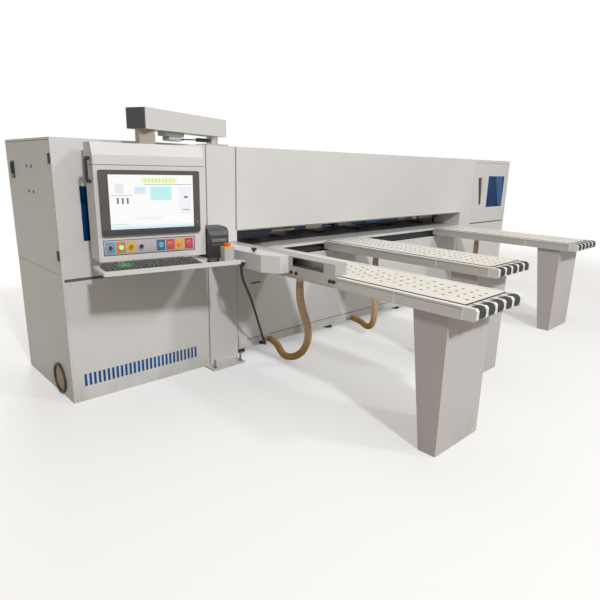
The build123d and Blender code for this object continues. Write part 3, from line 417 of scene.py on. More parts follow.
@finish
def port_plastic():
    """Pale fittings with black glands, and a black ring round the dull cap of the left side's port."""
    centre = from_left(0, 0.237, 0.122)
    port_depth, cap_radius, gland_reach = 0.01, 0.0885, 0.045
    made = Finish("port_plastic")
    x, y, z = made.axes()
    across = y - centre.y
    above = z - centre.z
    port = x < centre.x + port_depth
    cap = (across * across + above * above < cap_radius ** 2) * port
    black = port
    for place in (cable_route[0], cable_route[-1]):
        black = black + (made.away(from_left(*place)) < gland_reach)
    cloud = made.noise(9)
    dark = made.mottle(cloud, palette("rubber"), 0.9, 1.5)
    pale = made.mottle(cloud, palette("cover"), 0.82, 0.95)
    dull = made.blend(made.fade(above, -0.09, 0.06), (0.40, 0.25, 0.12), (0.33, 0.27, 0.20))
    tone = made.blend(cap, made.blend(black, pale, dark), dull)
    made.feed(Base_Color=tone, Roughness=0.42 + 0.15 * cloud)
    made.rough(made.noise(700, detail=2), distance=0.00025, strength=0.35)
    return made.material


@finish
def machine_paint(name, shade):
    """Darker paint of frames and motors, with scuffs down to the primer."""
    scuff_share = 0.45
    made = Finish(name)
    cloud = made.noise(2.2, detail=4)
    scratch = made.noise(38, detail=5, stretch=(1, 1, 0.2))
    tone = made.mottle(made.fade(cloud, 0.3, 0.7), shade, 0.8, 1.25)
    worn = made.fade(scratch, 0.70, 0.80) * scuff_share
    primer = tint(palette("steel"), 0.8)
    made.feed(Base_Color=made.blend(worn, tone, primer), Roughness=0.34 + 0.22 * cloud)
    made.rough(made.noise(420, detail=2), distance=0.0003, strength=0.3)
    return made.material


def frame_blue():
    """Paint of the frame, girder and beams."""
    return machine_paint("frame_blue", palette("blue"))


def dark_paint():
    """Paint of motors, blower, carriage and grippers."""
    return machine_paint("dark_paint", palette("dark"))


# Stretch that draws noise out into lines along Y
lines_along_y = (260, 2.5, 260)


@finish
def anodised(name, stretch, share):
    """Anodised extrusion with drawing lines along its length."""
    made = Finish(name, Metallic=0.55)
    lines = made.noise(1.0, stretch=stretch)
    cloud = made.noise(3)
    shade = tint(palette("aluminium"), share)
    made.feed(Base_Color=made.mottle(made.fade(lines, 0.3, 0.7), shade, 0.93, 1.05),
              Roughness=0.34 + 0.16 * cloud)
    made.rough(lines, distance=0.0002, strength=0.3)
    return made.material


@finish
def table_metal():
    """Table profiles with a painted highlight along their top rim, and pale moulded cheeks past their ends.
    """
    highlight_height, cheek_side, cheek_back = 0.003, 0.02, 0.05
    made = Finish("table_metal")
    x, y, z = made.axes()
    lines = made.noise(1.0, stretch=lines_along_y)
    cloud = made.noise(3)
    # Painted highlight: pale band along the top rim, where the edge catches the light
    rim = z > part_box("air_tables")[1].z - highlight_height
    cheeks = []
    for number in (1, 2, 3):
        low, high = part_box(f"front_rollers_{number}")
        across = (x > low.x - cheek_side) * (x < high.x + cheek_side)
        cheeks.append(across * (y < (low.y + high.y) / 2 + cheek_back))
    past = cheeks[0] + cheeks[1] + cheeks[2]
    metal = made.mottle(made.fade(lines, 0.3, 0.7), palette("aluminium"), 0.93, 1.05)
    metal = made.blend(rim, metal, tint(palette("cover"), 1.2))
    made.feed(Base_Color=made.blend(past, metal, tint(palette("cover"), 1.12)),
              Metallic=0.35 * (1 - past) * (1 - rim), Roughness=0.36 + 0.14 * cloud)
    made.rough(lines, distance=0.0002, strength=0.25)
    return made.material


@finish
def ground_steel():
    """Ground steel plate with faint grinding lines and oil marks."""
    made = Finish("ground_steel", Metallic=0.85)
    lines = made.noise(1.0, detail=4, stretch=(3, 320, 320))
    oil = made.noise(6, detail=4)
    bright = tint(palette("steel"), 1.05)
    made.feed(Base_Color=made.blend(made.fade(oil, 0.45, 0.75), bright, (0.30, 0.25, 0.19)),
              Roughness=0.24 + 0.25 * lines)
    made.rough(lines, distance=0.0002, strength=0.3)
    return made.material


@finish
def worn_table():
    """Grey steel of the saw table, rubbed along the cut and lightly rusted."""
    rust_share = 0.5
    made = Finish("worn_table", Metallic=0.25)
    rub = made.noise(1.0, detail=4, stretch=(2, 90, 90))
    rust = made.noise(7, detail=4)
    tone = made.blend(made.fade(rub, 0.3, 0.7), (0.64, 0.61, 0.57), (0.76, 0.75, 0.73))
    made.feed(Base_Color=made.blend(made.fade(rust, 0.55, 0.8) * rust_share, tone, (0.40, 0.33, 0.25)),
              Roughness=0.32 + 0.2 * rub)
    made.rough(rub, distance=0.0002, strength=0.3)
    return made.material


@finish
def plated_steel(name, share, roughness):
    """Zinc plated or polished steel of small parts."""
    made = Finish(name, Metallic=0.9)
    cloud = made.noise(60)
    shade = tint(palette("steel"), share)
    made.feed(Base_Color=made.mottle(cloud, shade, 0.85, 1.1), Roughness=roughness + 0.15 * cloud)
    return made.material


@finish
def laminate():
    """Cream laminate of the table tops, rubbed along the feed."""
    speck_share = 0.35
    made = Finish("table_laminate")
    speck = made.noise(260, detail=2)
    rub = made.noise(4, detail=4, stretch=(6, 0.5, 1))
    shade = palette("cream")
    tone = made.mottle(made.fade(rub, 0.35, 0.75), shade, 1.02, 0.93)
    made.feed(Base_Color=made.blend(made.fade(speck, 0.62, 0.72) * speck_share, tone, tint(shade, 0.75)),
              Roughness=0.42 + 0.2 * rub)
    made.rough(speck, distance=0.0002, strength=0.2)
    return made.material


@finish
def black_rubber(name, groove_rate):
    """Rubber with rubbed dust, and grooves along X as a wave of so many radians in a metre."""
    dust_share = 0.5
    made = Finish(name)
    x = made.axes()[0]
    groove = (x * groove_rate).cosine()
    dust = made.noise(22, detail=4)
    shade = palette("rubber")
    made.feed(Base_Color=made.mottle(made.fade(dust, 0.5, 0.8) * dust_share, shade, 1.0, 4.5),
              Roughness=0.52 + 0.25 * dust)
    made.rough(groove, distance=0.0012, strength=0.6)
    return made.material


@finish
def moulded(name, shade, roughness):
    """Moulded plastic with a fine spark texture."""
    made = Finish(name)
    spark = made.noise(900, detail=2)
    cloud = made.noise(9)
    made.feed(Base_Color=made.mottle(cloud, shade, 0.82, 1.12), Roughness=roughness + 0.12 * cloud)
    made.rough(spark, distance=0.00025, strength=0.35)
    return made.material


def bolt_black():
    """Black of bolt heads, knobs and levers."""
    return moulded("bolt_black", palette("rubber"), 0.4)


def gap_brown():
    """Painted shade: brown dark that stands for the shade in open gaps and grooves."""
    return moulded("gap_brown", (0.13, 0.115, 0.095), 0.6)


@finish
def key_plastic(screen_reflection):
    """Dark keycaps whose pale tops stand for letters and dust and partly for a painted sheen, and a green
    patch that is a painted reflection of the screen.
    """
    letters_dust_and_sheen_share, reflection_radius, reflection_fade_end = 0.6, 0.035, 0.06
    made = Finish("key_plastic")
    # Painted reflection: green of the screen on the keys near one spot
    near = 1 - made.fade(made.away(screen_reflection), reflection_radius, reflection_fade_end)
    worn = made.noise(70, detail=2)
    # Pale tops for letters and dust, partly a painted sheen
    tone = made.mottle(made.fade(worn, 0.5, 0.62) * letters_dust_and_sheen_share, palette("case"), 0.6, 4.5)
    made.feed(Base_Color=made.blend(near * made.fade(worn, 0.38, 0.5), tone, (0.06, 0.42, 0.10)),
              Roughness=0.4 + 0.2 * worn)
    return made.material


@finish
def lit_plastic(name, shade, glow):
    """Glossy cap, lit from inside where it glows."""
    made = Finish(name, Roughness=0.22, Coat_Weight=0.5, Emission_Strength=glow)
    tone = made.mottle(made.noise(160, detail=2), shade, 0.85, 1.1)
    made.feed(Base_Color=tone, Emission_Color=tone)
    return made.material


@finish
def enamel(name, shade):
    """Smooth printed or painted plate."""
    made = Finish(name, Coat_Weight=0.3)
    grain = made.noise(420, detail=2)
    made.feed(Base_Color=made.mottle(grain, shade, 0.9, 1.08), Roughness=0.35 + 0.1 * grain)
    return made.material


@finish
def tinted_pane(node):
    """Blue polycarbonate with wiping marks, and a paler slanting band near one side as a painted reflection.
    """
    reflection_band_share = 0.55
    made = Finish(f"{node}_pane", Specular_IOR_Level=0.04)
    low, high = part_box(node)
    x, _, z = made.axes()
    across = (x - low.x) / (high.x - low.x)
    above = (z - low.z) / (high.z - low.z)
    # Painted reflection: paler slanting band across the pane
    band = made.fade(across + 0.35 * above, 0.72, 0.86) * (1 - made.fade(across + 0.2 * above, 1.02, 1.1))
    wipe = made.noise(3, detail=4, stretch=(1, 1, 0.4))
    tone = made.mottle(made.fade(wipe, 0.4, 0.75), palette("glass"), 0.7, 1.5)
    made.feed(Base_Color=made.blend(band * reflection_band_share, tone, (0.07, 0.20, 0.45)),
              Roughness=0.08 + 0.16 * wipe)
    return made.material


@finish
def bezel_plastic():
    """Brownish monitor case, bluer and darker under the screen."""
    bottom, dark_height, painted_glow_gone_above, dust_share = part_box("monitor")[0].z, 0.03, 0.045, 0.2
    made = Finish("bezel_plastic")
    cloud = made.noise(9)
    below = 1 - made.fade(made.axes()[2], bottom + dark_height, bottom + painted_glow_gone_above)
    tone = made.blend(below, (0.072, 0.065, 0.057), (0.024, 0.028, 0.034))
    made.feed(Base_Color=made.blend(cloud * dust_share, tone, (0.13, 0.12, 0.11)),
              Roughness=0.36 + 0.12 * cloud)
    made.rough(made.noise(900, detail=2), distance=0.00025, strength=0.35)
    return made.material


@finish
def hose_plastic():
    """Ribbed hose with dust stains, painted shade in the grooves, and a deeper gold low down as painted
    light.
    """
    groove_shade_share, stain_share, painted_glow_full_below, painted_glow_gone_above = 0.6, 0.25, 0.08, 0.42
    made = Finish("hose_plastic", Subsurface_Weight=0.12, Subsurface_Scale=0.01)
    rib = Value(made, made.node("ShaderNodeAttribute", {"attribute_name": "rib"}).outputs["Fac"])
    stain = made.noise(9, detail=4)
    # Painted light: deeper gold low down, fading out higher up
    above = made.fade(made.axes()[2], painted_glow_full_below, painted_glow_gone_above)
    shade = made.blend(above, (0.60, 0.335, 0.085), palette("hose"))
    # Painted shade: darker in the grooves between the ribs
    tone = made.blend((1 - made.fade(rib, 0.1, 0.8)) * groove_shade_share, shade, (0.17, 0.12, 0.07))
    made.feed(Base_Color=made.blend(made.fade(stain, 0.5, 0.8) * stain_share, tone, palette("dirt")),
              Roughness=0.42 + 0.2 * stain)
    return made.material


@finish
def screen_light():
    """Bright operating page: header strip, panels, bars and rows of marks."""
    made = Finish("screen_light", Base_Color=(0.02, 0.02, 0.02, 1), Roughness=0.16, Coat_Weight=0.2,
                  Emission_Strength=0.95)
    u, v, _ = made.axes(made.node("ShaderNodeUVMap").outputs[0])

    def area(start, stop, low, high):
        """1 inside a rectangle of the page, and 0 outside."""
        return (u > start) * (u < stop) * (v > low) * (v < high)

    page = made.blend(made.fade(v, 0.0, 0.1), (0.62, 0.80, 0.92), (0.96, 0.965, 0.96))
    # Left, right, lower and upper edge of each block as shares of the page, and its colour
    blocks = (
        ((0.37, 0.80, 0.845, 0.945), (0.88, 0.95, 0.55)), ((0.47, 0.73, 0.53, 0.785), (0.52, 0.88, 0.90)),
        ((0.29, 0.42, 0.65, 0.78), (0.66, 0.82, 0.94)), ((0.07, 0.17, 0.66, 0.84), (0.80, 0.83, 0.86)),
        ((0.82, 0.97, 0.26, 0.78), (0.89, 0.89, 0.93)), ((0.29, 0.60, 0.17, 0.22), (0.88, 0.89, 0.90)),
        ((0.02, 0.20, 0.085, 0.10), (0.45, 0.78, 0.45)), ((0.40, 0.98, 0.815, 0.828), (0.35, 0.45, 0.60)),
        ((0.02, 0.26, 0.62, 0.632), (0.50, 0.52, 0.55)), ((0.88, 0.93, 0.56, 0.60), (0.20, 0.22, 0.26)),
        ((0.86, 0.95, 0.33, 0.345), (0.20, 0.22, 0.26)),
    )
    for edges, shade in blocks:
        page = made.blend(area(*edges), page, shade)
    bar_width, bar_low, bar_high = 0.022, 0.47, 0.58
    for start in (0.085, 0.14, 0.195):
        page = made.blend(area(start, start + bar_width, bar_low, bar_high), page, (0.16, 0.17, 0.19))
    # Radians of the waves over the whole page, and how strongly what they make shows
    row_rate, title_rate, row_share, title_share = 190, 150, 0.3, 0.55
    rows = (v * row_rate).cosine() > 0.55
    marks = made.noise(1.0, detail=2, stretch=(160, 160, 40)) > 0.5
    written = area(0.49, 0.71, 0.55, 0.76) + area(0.30, 0.41, 0.66, 0.77)
    page = made.blend(rows * marks * written * row_share, page, (0.25, 0.45, 0.55))
    title = (u * title_rate).cosine() + made.noise(1.0, detail=2, stretch=(90, 90, 90)) * 2 > 1.0
    page = made.blend(title * area(0.39, 0.78, 0.86, 0.93) * title_share, page, (0.45, 0.70, 0.12))
    made.feed(Emission_Color=page)
    return made.material


@finish
def stop_case():
    """Pale stop box with a yellow cap."""
    cap_share = 0.10
    made = Finish("stop_case")
    low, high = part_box("stop_box")
    cloud = made.noise(30)
    cap = made.axes()[2] > high.z - cap_share * (high.z - low.z)
    made.feed(Base_Color=made.blend(cap, tint(palette("cover"), 0.72), (0.78, 0.42, 0.08)),
              Roughness=0.35 + 0.15 * cloud)
    made.rough(made.noise(700, detail=2), distance=0.0002, strength=0.3)
    return made.material


@finish
def studio_floor():
    """Pale floor that keeps shadows near the machine and fades to white away from it."""
    shade = tuple(bpy.context.scene.beam_saw.stage.floor)
    # Squares of the distances between which the floor turns white, and the least share of white
    shadow_area, white_area, least_white = 20.0, 60.0, 0.35
    made = Finish("studio_floor", Roughness=0.7)
    made.feed(Base_Color=made.mottle(made.noise(1.5), shade, 0.99, 1.01))
    x, y, _ = made.axes()
    light = made.node("ShaderNodeLightPath").outputs
    camera, gloss, through = [Value(made, light[f"Is {ray} Ray"])
                              for ray in ("Camera", "Glossy", "Transmission")]
    plain = made.node("ShaderNodeEmission", None, {"Color": (1, 1, 1, 1), "Strength": 1.0})
    distance = made.fade(x * x + y * y, shadow_area, white_area)
    white = (least_white + (1 - least_white) * distance) * (camera + gloss + through)
    dim = made.node("ShaderNodeBsdfDiffuse", None, {"Color": (0.32, 0.31, 0.29, 1)})
    near = made.node("ShaderNodeMixShader", None,
                     {0: light["Is Diffuse Ray"], 1: made.shader.outputs[0], 2: dim.outputs[0]})
    mix = made.node("ShaderNodeMixShader", None, {0: white, 1: near.outputs[0], 2: plain.outputs[0]})
    made.node("ShaderNodeOutputMaterial", {"is_active_output": True}, {"Surface": mix.outputs[0]})
    return made.material


def link(name, data):
    """New object at the origin."""
    made = bpy.data.objects.new(name, data)
    bpy.context.scene.collection.objects.link(made)
    return made


def mesh_data(name, form, looks):
    """A finished form as mesh data, with its finishes."""
    data = bpy.data.meshes.new(name)
    form.to_mesh(data)
    form.free()
    for look in looks:
        data.materials.append(look)
    return data


def settle(piece, body):
    """Smooths a piece between its sharp edges, and makes it ride on a body."""
    sharp = radians(32)
    for face in piece.data.polygons:
        face.use_smooth = True
    piece.data.set_sharp_from_angle(angle=sharp)
    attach(piece, body)


def circle(sides):
    """Angles of evenly spaced points round a circle."""
    return [2 * pi * step / sides for step in range(sides)]


def shape(maker):
    """Gives the faces that a shape adds one of the piece's finishes."""
    def add(form, *arguments, look=0, **options):
        old = set(form.mesh.faces)
        maker(form, *arguments, **options)
        for face in form.mesh.faces:
            if face not in old:
                face.material_index = look
    return add


class Form:
    """A mesh under construction in a local frame; each shape takes one of the piece's finishes."""

    def __init__(self, at=None):
        self.mesh = bmesh.new()
        self.at = at or Matrix()

    def wrap(self, loops):
        """Faces between each closed loop of points and the next."""
        for first, second in zip(loops, loops[1:]):
            for k in range(len(first)):
                after = (k + 1) % len(first)
                self.mesh.faces.new((first[k], first[after], second[after], second[k]))

    @shape
    def slab(self, low, high, bevel=0.0):
        """Box, with rounded edges where a bevel is given."""
        low, high = Vector(low), Vector(high)
        place = Matrix.Translation((low + high) / 2) @ Matrix.Diagonal((*(high - low), 1))
        points = bmesh.ops.create_cube(self.mesh, size=1, matrix=place)["verts"]
        if bevel:
            edges = list(dict.fromkeys(edge for point in points for edge in point.link_edges))
            bmesh.ops.bevel(self.mesh, geom=edges, offset=bevel, segments=2, profile=0.5, affect="EDGES")

    @shape
    def turned(self, profile, base, axis, sides=28, ring=False):
        """Shape of revolution from (radius, height) points; a ring is open in its middle."""
        turn = Vector(upward).rotation_difference(Vector(axis)).to_matrix().to_4x4()
        place = Matrix.Translation(base) @ turn
        loops = []
        for radius, height in profile:
            points = [Vector((radius * cos(step), radius * sin(step), height)) for step in circle(sides)]
            loops.append([self.mesh.verts.new(place @ point) for point in points])
        self.wrap(loops + loops[:1] if ring else loops)
        if not ring:
            self.mesh.faces.new(list(reversed(loops[0])))
            self.mesh.faces.new(loops[-1])

    @shape
    def holed(self, low, high, centre, radius, sides=32):
        """Plate that faces -Y, with a round hole."""
        turns = circle(sides)
        for x in (low.x - centre.x, high.x - centre.x):
            for z in (low.z - centre.z, high.z - centre.z):
                turns.append(atan2(z, x) % (2 * pi))
        loops = [[], [], [], []]
        for turn in sorted(turns):
            across, above = cos(turn), sin(turn)
            side = (high.x - centre.x if across > 0 else centre.x - low.x) / max(abs(across), tiny)
            end = (high.z - centre.z if above > 0 else centre.z - low.z) / max(abs(above), tiny)
            edge = min(side, end)
            for loop, reach, y in zip(loops, (radius, radius, edge, edge), (low.y, high.y, high.y, low.y)):
                place = (centre.x + reach * across, y, centre.z + reach * above)
                loop.append(self.mesh.verts.new(place))
        self.wrap(loops + loops[:1])

    @shape
    def sheet(self, outline, thickness):
        """Plate on the front of the machine, from (X, Z) corners measured from its left front corner."""
        sunk = 0.0005
        loops = [[self.mesh.verts.new(from_left(x, y, z)) for x, z in outline] for y in (-thickness, sunk)]
        self.mesh.faces.new(loops[0])
        self.mesh.faces.new(list(reversed(loops[1])))
        self.wrap(loops[::-1])

    def order(self):
        """Puts the faces in the order of their points; a bevel's own order can change between runs."""
        self.mesh.verts.index_update()
        faces = sorted(self.mesh.faces, key=lambda face: sorted(point.index for point in face.verts))
        for number, face in enumerate(faces):
            face.index = number
        self.mesh.faces.sort()

    def piece(self, name, body, looks, slot):
        """Makes the finished piece, riding on a body."""
        bmesh.ops.transform(self.mesh, matrix=self.at, verts=self.mesh.verts)
        bmesh.ops.recalc_face_normals(self.mesh, faces=self.mesh.faces)
        self.order()
        settle(link(name, mesh_data(name, self.mesh, looks)), body)


def dress(look, *nodes):
    """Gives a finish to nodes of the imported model."""
    for node in nodes:
        slots = frame["nodes"][node].data.materials
        slots.clear()
        slots.append(look)


def plain_mesh(host):
    """The evaluated result of an object, as a plain mesh."""
    graph = bpy.context.evaluated_depsgraph_get()
    return bpy.data.meshes.new_from_object(host.evaluated_get(graph), depsgraph=graph)


class NodeTool(Tree):
    """A Geometry Nodes tree with named size inputs, ending in one finish."""

    def __init__(self, name, sizes):
        group = bpy.data.node_groups.new(name, "GeometryNodeTree")
        super().__init__(group)
        group.interface.new_socket("Geometry", in_out="INPUT", socket_type="NodeSocketGeometry")
        for size in sizes:
            group.interface.new_socket(size, in_out="INPUT", socket_type="NodeSocketFloat")
        group.interface.new_socket("Geometry", in_out="OUTPUT", socket_type="NodeSocketGeometry")
        self.given = self.node("NodeGroupInput").outputs
        self.sizes = sizes

    def size(self, name):
        """One of the size inputs."""
        return Value(self, self.given[name])

    def cylinder(self, sides, radius, depth):
        """Outputs of a cylinder."""
        return self.node("GeometryNodeMeshCylinder", None,
                         {"Vertices": sides, "Radius": radius, "Depth": depth}).outputs

    def close(self, geometry, look):
        """Ends the tree in plain geometry with a finish."""
        real = self.node("GeometryNodeRealizeInstances", None, {0: geometry})
        dressed = self.node("GeometryNodeSetMaterial", None, {"Geometry": real.outputs[0], "Material": look})
        self.node("NodeGroupOutput", None, {0: dressed.outputs[0]})

    def run(self, host):
        """Applies the tree to an object and returns the plain mesh."""
        modifier = host.modifiers.new("Nodes", "NODES")
        modifier.node_group = self.tree
        for item in self.tree.interface.items_tree:
            if item.in_out == "INPUT" and item.name in self.sizes:
                modifier[item.identifier] = self.sizes[item.name]
        mesh = plain_mesh(host)
        host.modifiers.clear()
        return mesh


def screw_unit(tool):
    """Socket head: a disc with a recess in its top."""
    recess_share = 0.7
    head = tool.cylinder(12, tool.size("Radius"), tool.size("Height"))
    rim = tool.node("GeometryNodeExtrudeMesh", {"mode": "FACES"},
                    {"Mesh": head["Mesh"], "Selection": head["Top"], "Offset Scale": 0.0}).outputs
    inner = tool.node("GeometryNodeScaleElements", None,
                      {"Geometry": rim["Mesh"], "Selection": rim["Top"], "Scale": tool.size("Socket")})
    return tool.node("GeometryNodeExtrudeMesh", {"mode": "FACES"},
                     {"Mesh": inner.outputs[0], "Selection": rim["Top"],
                      "Offset Scale": tool.size("Height") * -recess_share}).outputs["Mesh"]


def ball_unit(tool):
    """Small ball."""
    return tool.node("GeometryNodeMeshIcoSphere", None,
                     {"Radius": tool.size("Radius"), "Subdivisions": 2}).outputs["Mesh"]


def key_unit(tool):
    """Tapered cap."""
    nearly_up = 0.9
    size = tool.node("ShaderNodeCombineXYZ", None,
                     {0: tool.size("Width"), 1: tool.size("Depth"), 2: tool.size("Height")}).outputs[0]
    cap = tool.node("GeometryNodeMeshCube", None, {"Size": size}).outputs["Mesh"]
    normal = tool.node("GeometryNodeInputNormal").outputs[0]
    top = Value(tool, tool.node("ShaderNodeSeparateXYZ", None, {0: normal}).outputs[2]) > nearly_up
    return tool.node("GeometryNodeScaleElements", None,
                     {"Geometry": cap, "Selection": top, "Scale": tool.size("Taper")}).outputs[0]


def wheel_unit(tool):
    """Track wheel with a stepped hub."""
    hub_radius_share, hub_width_share = 0.45, 1.3
    radius, width = tool.size("Radius"), tool.size("Width")
    tread = tool.cylinder(20, radius, width)
    hub = tool.cylinder(10, radius * hub_radius_share, width * hub_width_share)
    both = tool.node("GeometryNodeJoinGeometry")
    for part in (tread, hub):
        tool.tree.links.new(part["Mesh"], both.inputs[0])
    return both.outputs[0]


def repeat(name, unit, sizes, spots, look, body, facing=upward, turn=None):
    """Copies of one unit on spots, all facing one way, or turned by angles where they are given."""
    tool = NodeTool(name, sizes)
    if turn is None:
        turn = tool.node("FunctionNodeAlignRotationToVector", {"axis": "Z"}, {"Vector": facing}).outputs[0]
    copies = tool.node("GeometryNodeInstanceOnPoints", None,
                       {"Points": tool.given["Geometry"], "Instance": unit(tool), "Rotation": turn})
    tool.close(copies.outputs[0], look)
    marks = bpy.data.meshes.new(name + "_spots")
    marks.from_pydata([tuple(spot) for spot in spots], [], [])
    host = link(name, marks)
    host.data = tool.run(host)
    settle(host, body)


def bolts(name, spots, body, facing, radius, height):
    """Black socket heads on spots."""
    repeat(name, screw_unit, {"Radius": radius, "Height": height, "Socket": 0.5}, spots, bolt_black(), body,
           facing)


def route_line(name, route):
    """Smooth line that a route's points pull towards them, and the points along it."""
    curve = bpy.data.curves.new(name, "CURVE")
    curve.dimensions = "3D"
    curve.resolution_u = 16
    spline = curve.splines.new("NURBS")
    spline.points.add(len(route) - 1)
    for point, place in zip(spline.points, route):
        point.co = (*from_left(*place), 1)
    spline.order_u = 3
    spline.use_endpoint_u = True
    line = link(name, curve)
    return line, [vertex.co.copy() for vertex in plain_mesh(line).vertices]


class BEAM_SAW_OT_stage(bpy.types.Operator):
    """Pale floor, soft lights and the camera"""
    bl_idname = "beam_saw.stage"
    bl_label = "Stage"

    # Name, place, aim and size of each lamp, in metres from the left front corner on the floor
    lamps = (
        ("right", (5.55, -8.9, 7.6), (2.0, -0.3, 0.8), 0.9),
        ("front", (-1.52, -10.66, 8.60), (2.0, -0.3, 0.8), 0.9),
        ("back", (3.1, 9.0, 4.2), (3.1, 0.8, 0.9), 3.0),
        ("top", (2.5, 0.3, 8.3), (2.0, -0.3, 0.8), 6.0),
    )

    def execute(self, context):
        scene = context.scene
        stage = scene.beam_saw.stage
        scene.view_settings.view_transform = "Standard"
        self.world(scene, stage)
        self.floor()
        for name, place, aim, size in self.lamps:
            self.lamp(stage, name, from_left(*place), from_left(*aim), size)
        self.camera(scene, stage)
        return {"FINISHED"}

    def world(self, scene, stage):
        """Warm ambient light, white where the camera sees it."""
        gloss_share = 0.75
        sky = bpy.data.worlds.new("studio")
        sky.use_nodes = True
        tree = Tree(sky.node_tree)
        light = tree.node("ShaderNodeLightPath").outputs
        seen = Value(tree, light["Is Camera Ray"]) + Value(tree, light["Is Glossy Ray"]) * gloss_share
        seen = seen + Value(tree, light["Is Transmission Ray"])
        strength = tree.node("ShaderNodeMapRange", None,
                             {"Value": seen, "To Min": stage.ambient, "To Max": 1.0}).outputs["Result"]
        tone = tree.node("ShaderNodeMix", {"data_type": "RGBA"},
                         {0: seen, 6: (*stage.warmth, 1), 7: (1, 1, 1, 1)}).outputs[2]
        glow = tree.node("ShaderNodeBackground", None, {"Color": tone, "Strength": strength})
        tree.node("ShaderNodeOutputWorld", None, {"Surface": glow.outputs[0]})
        scene.world = sky

    def floor(self):
        """Wide round floor."""
        form = bmesh.new()
        bmesh.ops.create_circle(form, cap_ends=True, segments=96, radius=60)
        link("floor", mesh_data("floor", form, [studio_floor()]))

    def lamp(self, stage, name, place, aim, size):
        """One lamp, turned to its aim."""
        data = bpy.data.lights.new(f"{name}_light", "AREA")
        data.energy = getattr(stage, f"{name}_power")
        data.color = stage.lamp_tone
        data.size = size
        lamp = link(f"{name}_light", data)
        lamp.location = place
        lamp.rotation_mode = "QUATERNION"
        lamp.rotation_quaternion = (aim - place).to_track_quat("-Z", "Y")

    def camera(self, scene, stage):
        """Camera at its place, with the three turns of the settings."""
        flat = cos(stage.pitch)
        ahead = Vector((sin(stage.yaw) * flat, cos(stage.yaw) * flat, -sin(stage.pitch)))
        level = Vector((cos(stage.yaw), -sin(stage.yaw), 0))
        down = ahead.cross(level)
        across = cos(stage.roll) * level + sin(stage.roll) * down
        above = sin(stage.roll) * level - cos(stage.roll) * down
        data = bpy.data.cameras.new("camera")
        data.lens = stage.lens
        data.sensor_width = 36
        camera = link("camera", data)
        turn = Matrix((across, above, -ahead)).transposed()
        camera.matrix_world = Matrix.Translation(from_left(*stage.camera_place)) @ turn.to_4x4()
        scene.camera = camera


class BEAM_SAW_OT_hoses(bpy.types.Operator):
    """Ribbed air hoses from the tables to the base"""
    bl_idname = "beam_saw.hoses"
    bl_label = "Air hoses"

    def execute(self, context):
        sizes = context.scene.beam_saw.sizes
        for number, route in enumerate((first_hose, second_hose, third_hose), 1):
            name = f"air_hose_{number}"
            line, path = route_line(name + "_line", route)
            hose = link(name, self.tube(name, sizes).run(line))
            bpy.data.objects.remove(line)
            settle(hose, "machine")
            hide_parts("air_hoses")
        return {"FINISHED"}

    def tube(self, name, sizes):
        """Tree that sweeps a circle along a line and swells it into ribs between two plain cuffs."""
        loops_per_rib, sides = 8, 24
        tool = NodeTool(name, {"Radius": sizes.hose_radius, "Rib depth": sizes.rib_depth,
                               "Rib pitch": sizes.rib_pitch, "Cuff": sizes.hose_cuff})
        given, pitch, cuff = tool.given["Geometry"], tool.size("Rib pitch"), tool.size("Cuff")
        whole = Value(tool, tool.node("GeometryNodeCurveLength", None, {0: given}).outputs[0])
        line = tool.node("GeometryNodeResampleCurve", {"mode": "COUNT"},
                         {"Curve": given, "Count": whole / pitch * loops_per_rib}).outputs[0]
        along = Value(tool, tool.node("GeometryNodeSplineParameter").outputs["Length"])
        ribbed = (along > cuff) * (along < whole - cuff)
        wave = (0.5 - 0.5 * (along / pitch * (2 * pi)).cosine()) * ribbed
        marked = tool.node("GeometryNodeStoreNamedAttribute", {"data_type": "FLOAT", "domain": "POINT"},
                           {"Geometry": line, "Name": "rib", "Value": wave}).outputs[0]
        scale = tool.size("Radius") - tool.size("Rib depth") * (1 - wave)
        section = tool.node("GeometryNodeCurvePrimitiveCircle", None, {"Resolution": sides, "Radius": 1.0})
        skin = tool.node("GeometryNodeCurveToMesh", None,
                         {"Curve": marked, "Profile Curve": section.outputs[0], "Scale": scale,
                          "Fill Caps": True})
        tool.close(skin.outputs[0], hose_plastic())
        return tool


class BEAM_SAW_OT_cable(bpy.types.Operator):
    """Control cable from the fence cover to the base"""
    bl_idname = "beam_saw.cable"
    bl_label = "Control cable"

    def execute(self, context):
        radius = context.scene.beam_saw.sizes.cable_radius
        lead, path = route_line("control_lead", cable_route)
        lead.data.bevel_depth = radius
        lead.data.bevel_resolution = 4
        lead.data.use_fill_caps = True
        lead.data.materials.append(black_rubber("cable_rubber", 0.0))
        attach(lead, "machine")
        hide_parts("control_cable")
        return {"FINISHED"}


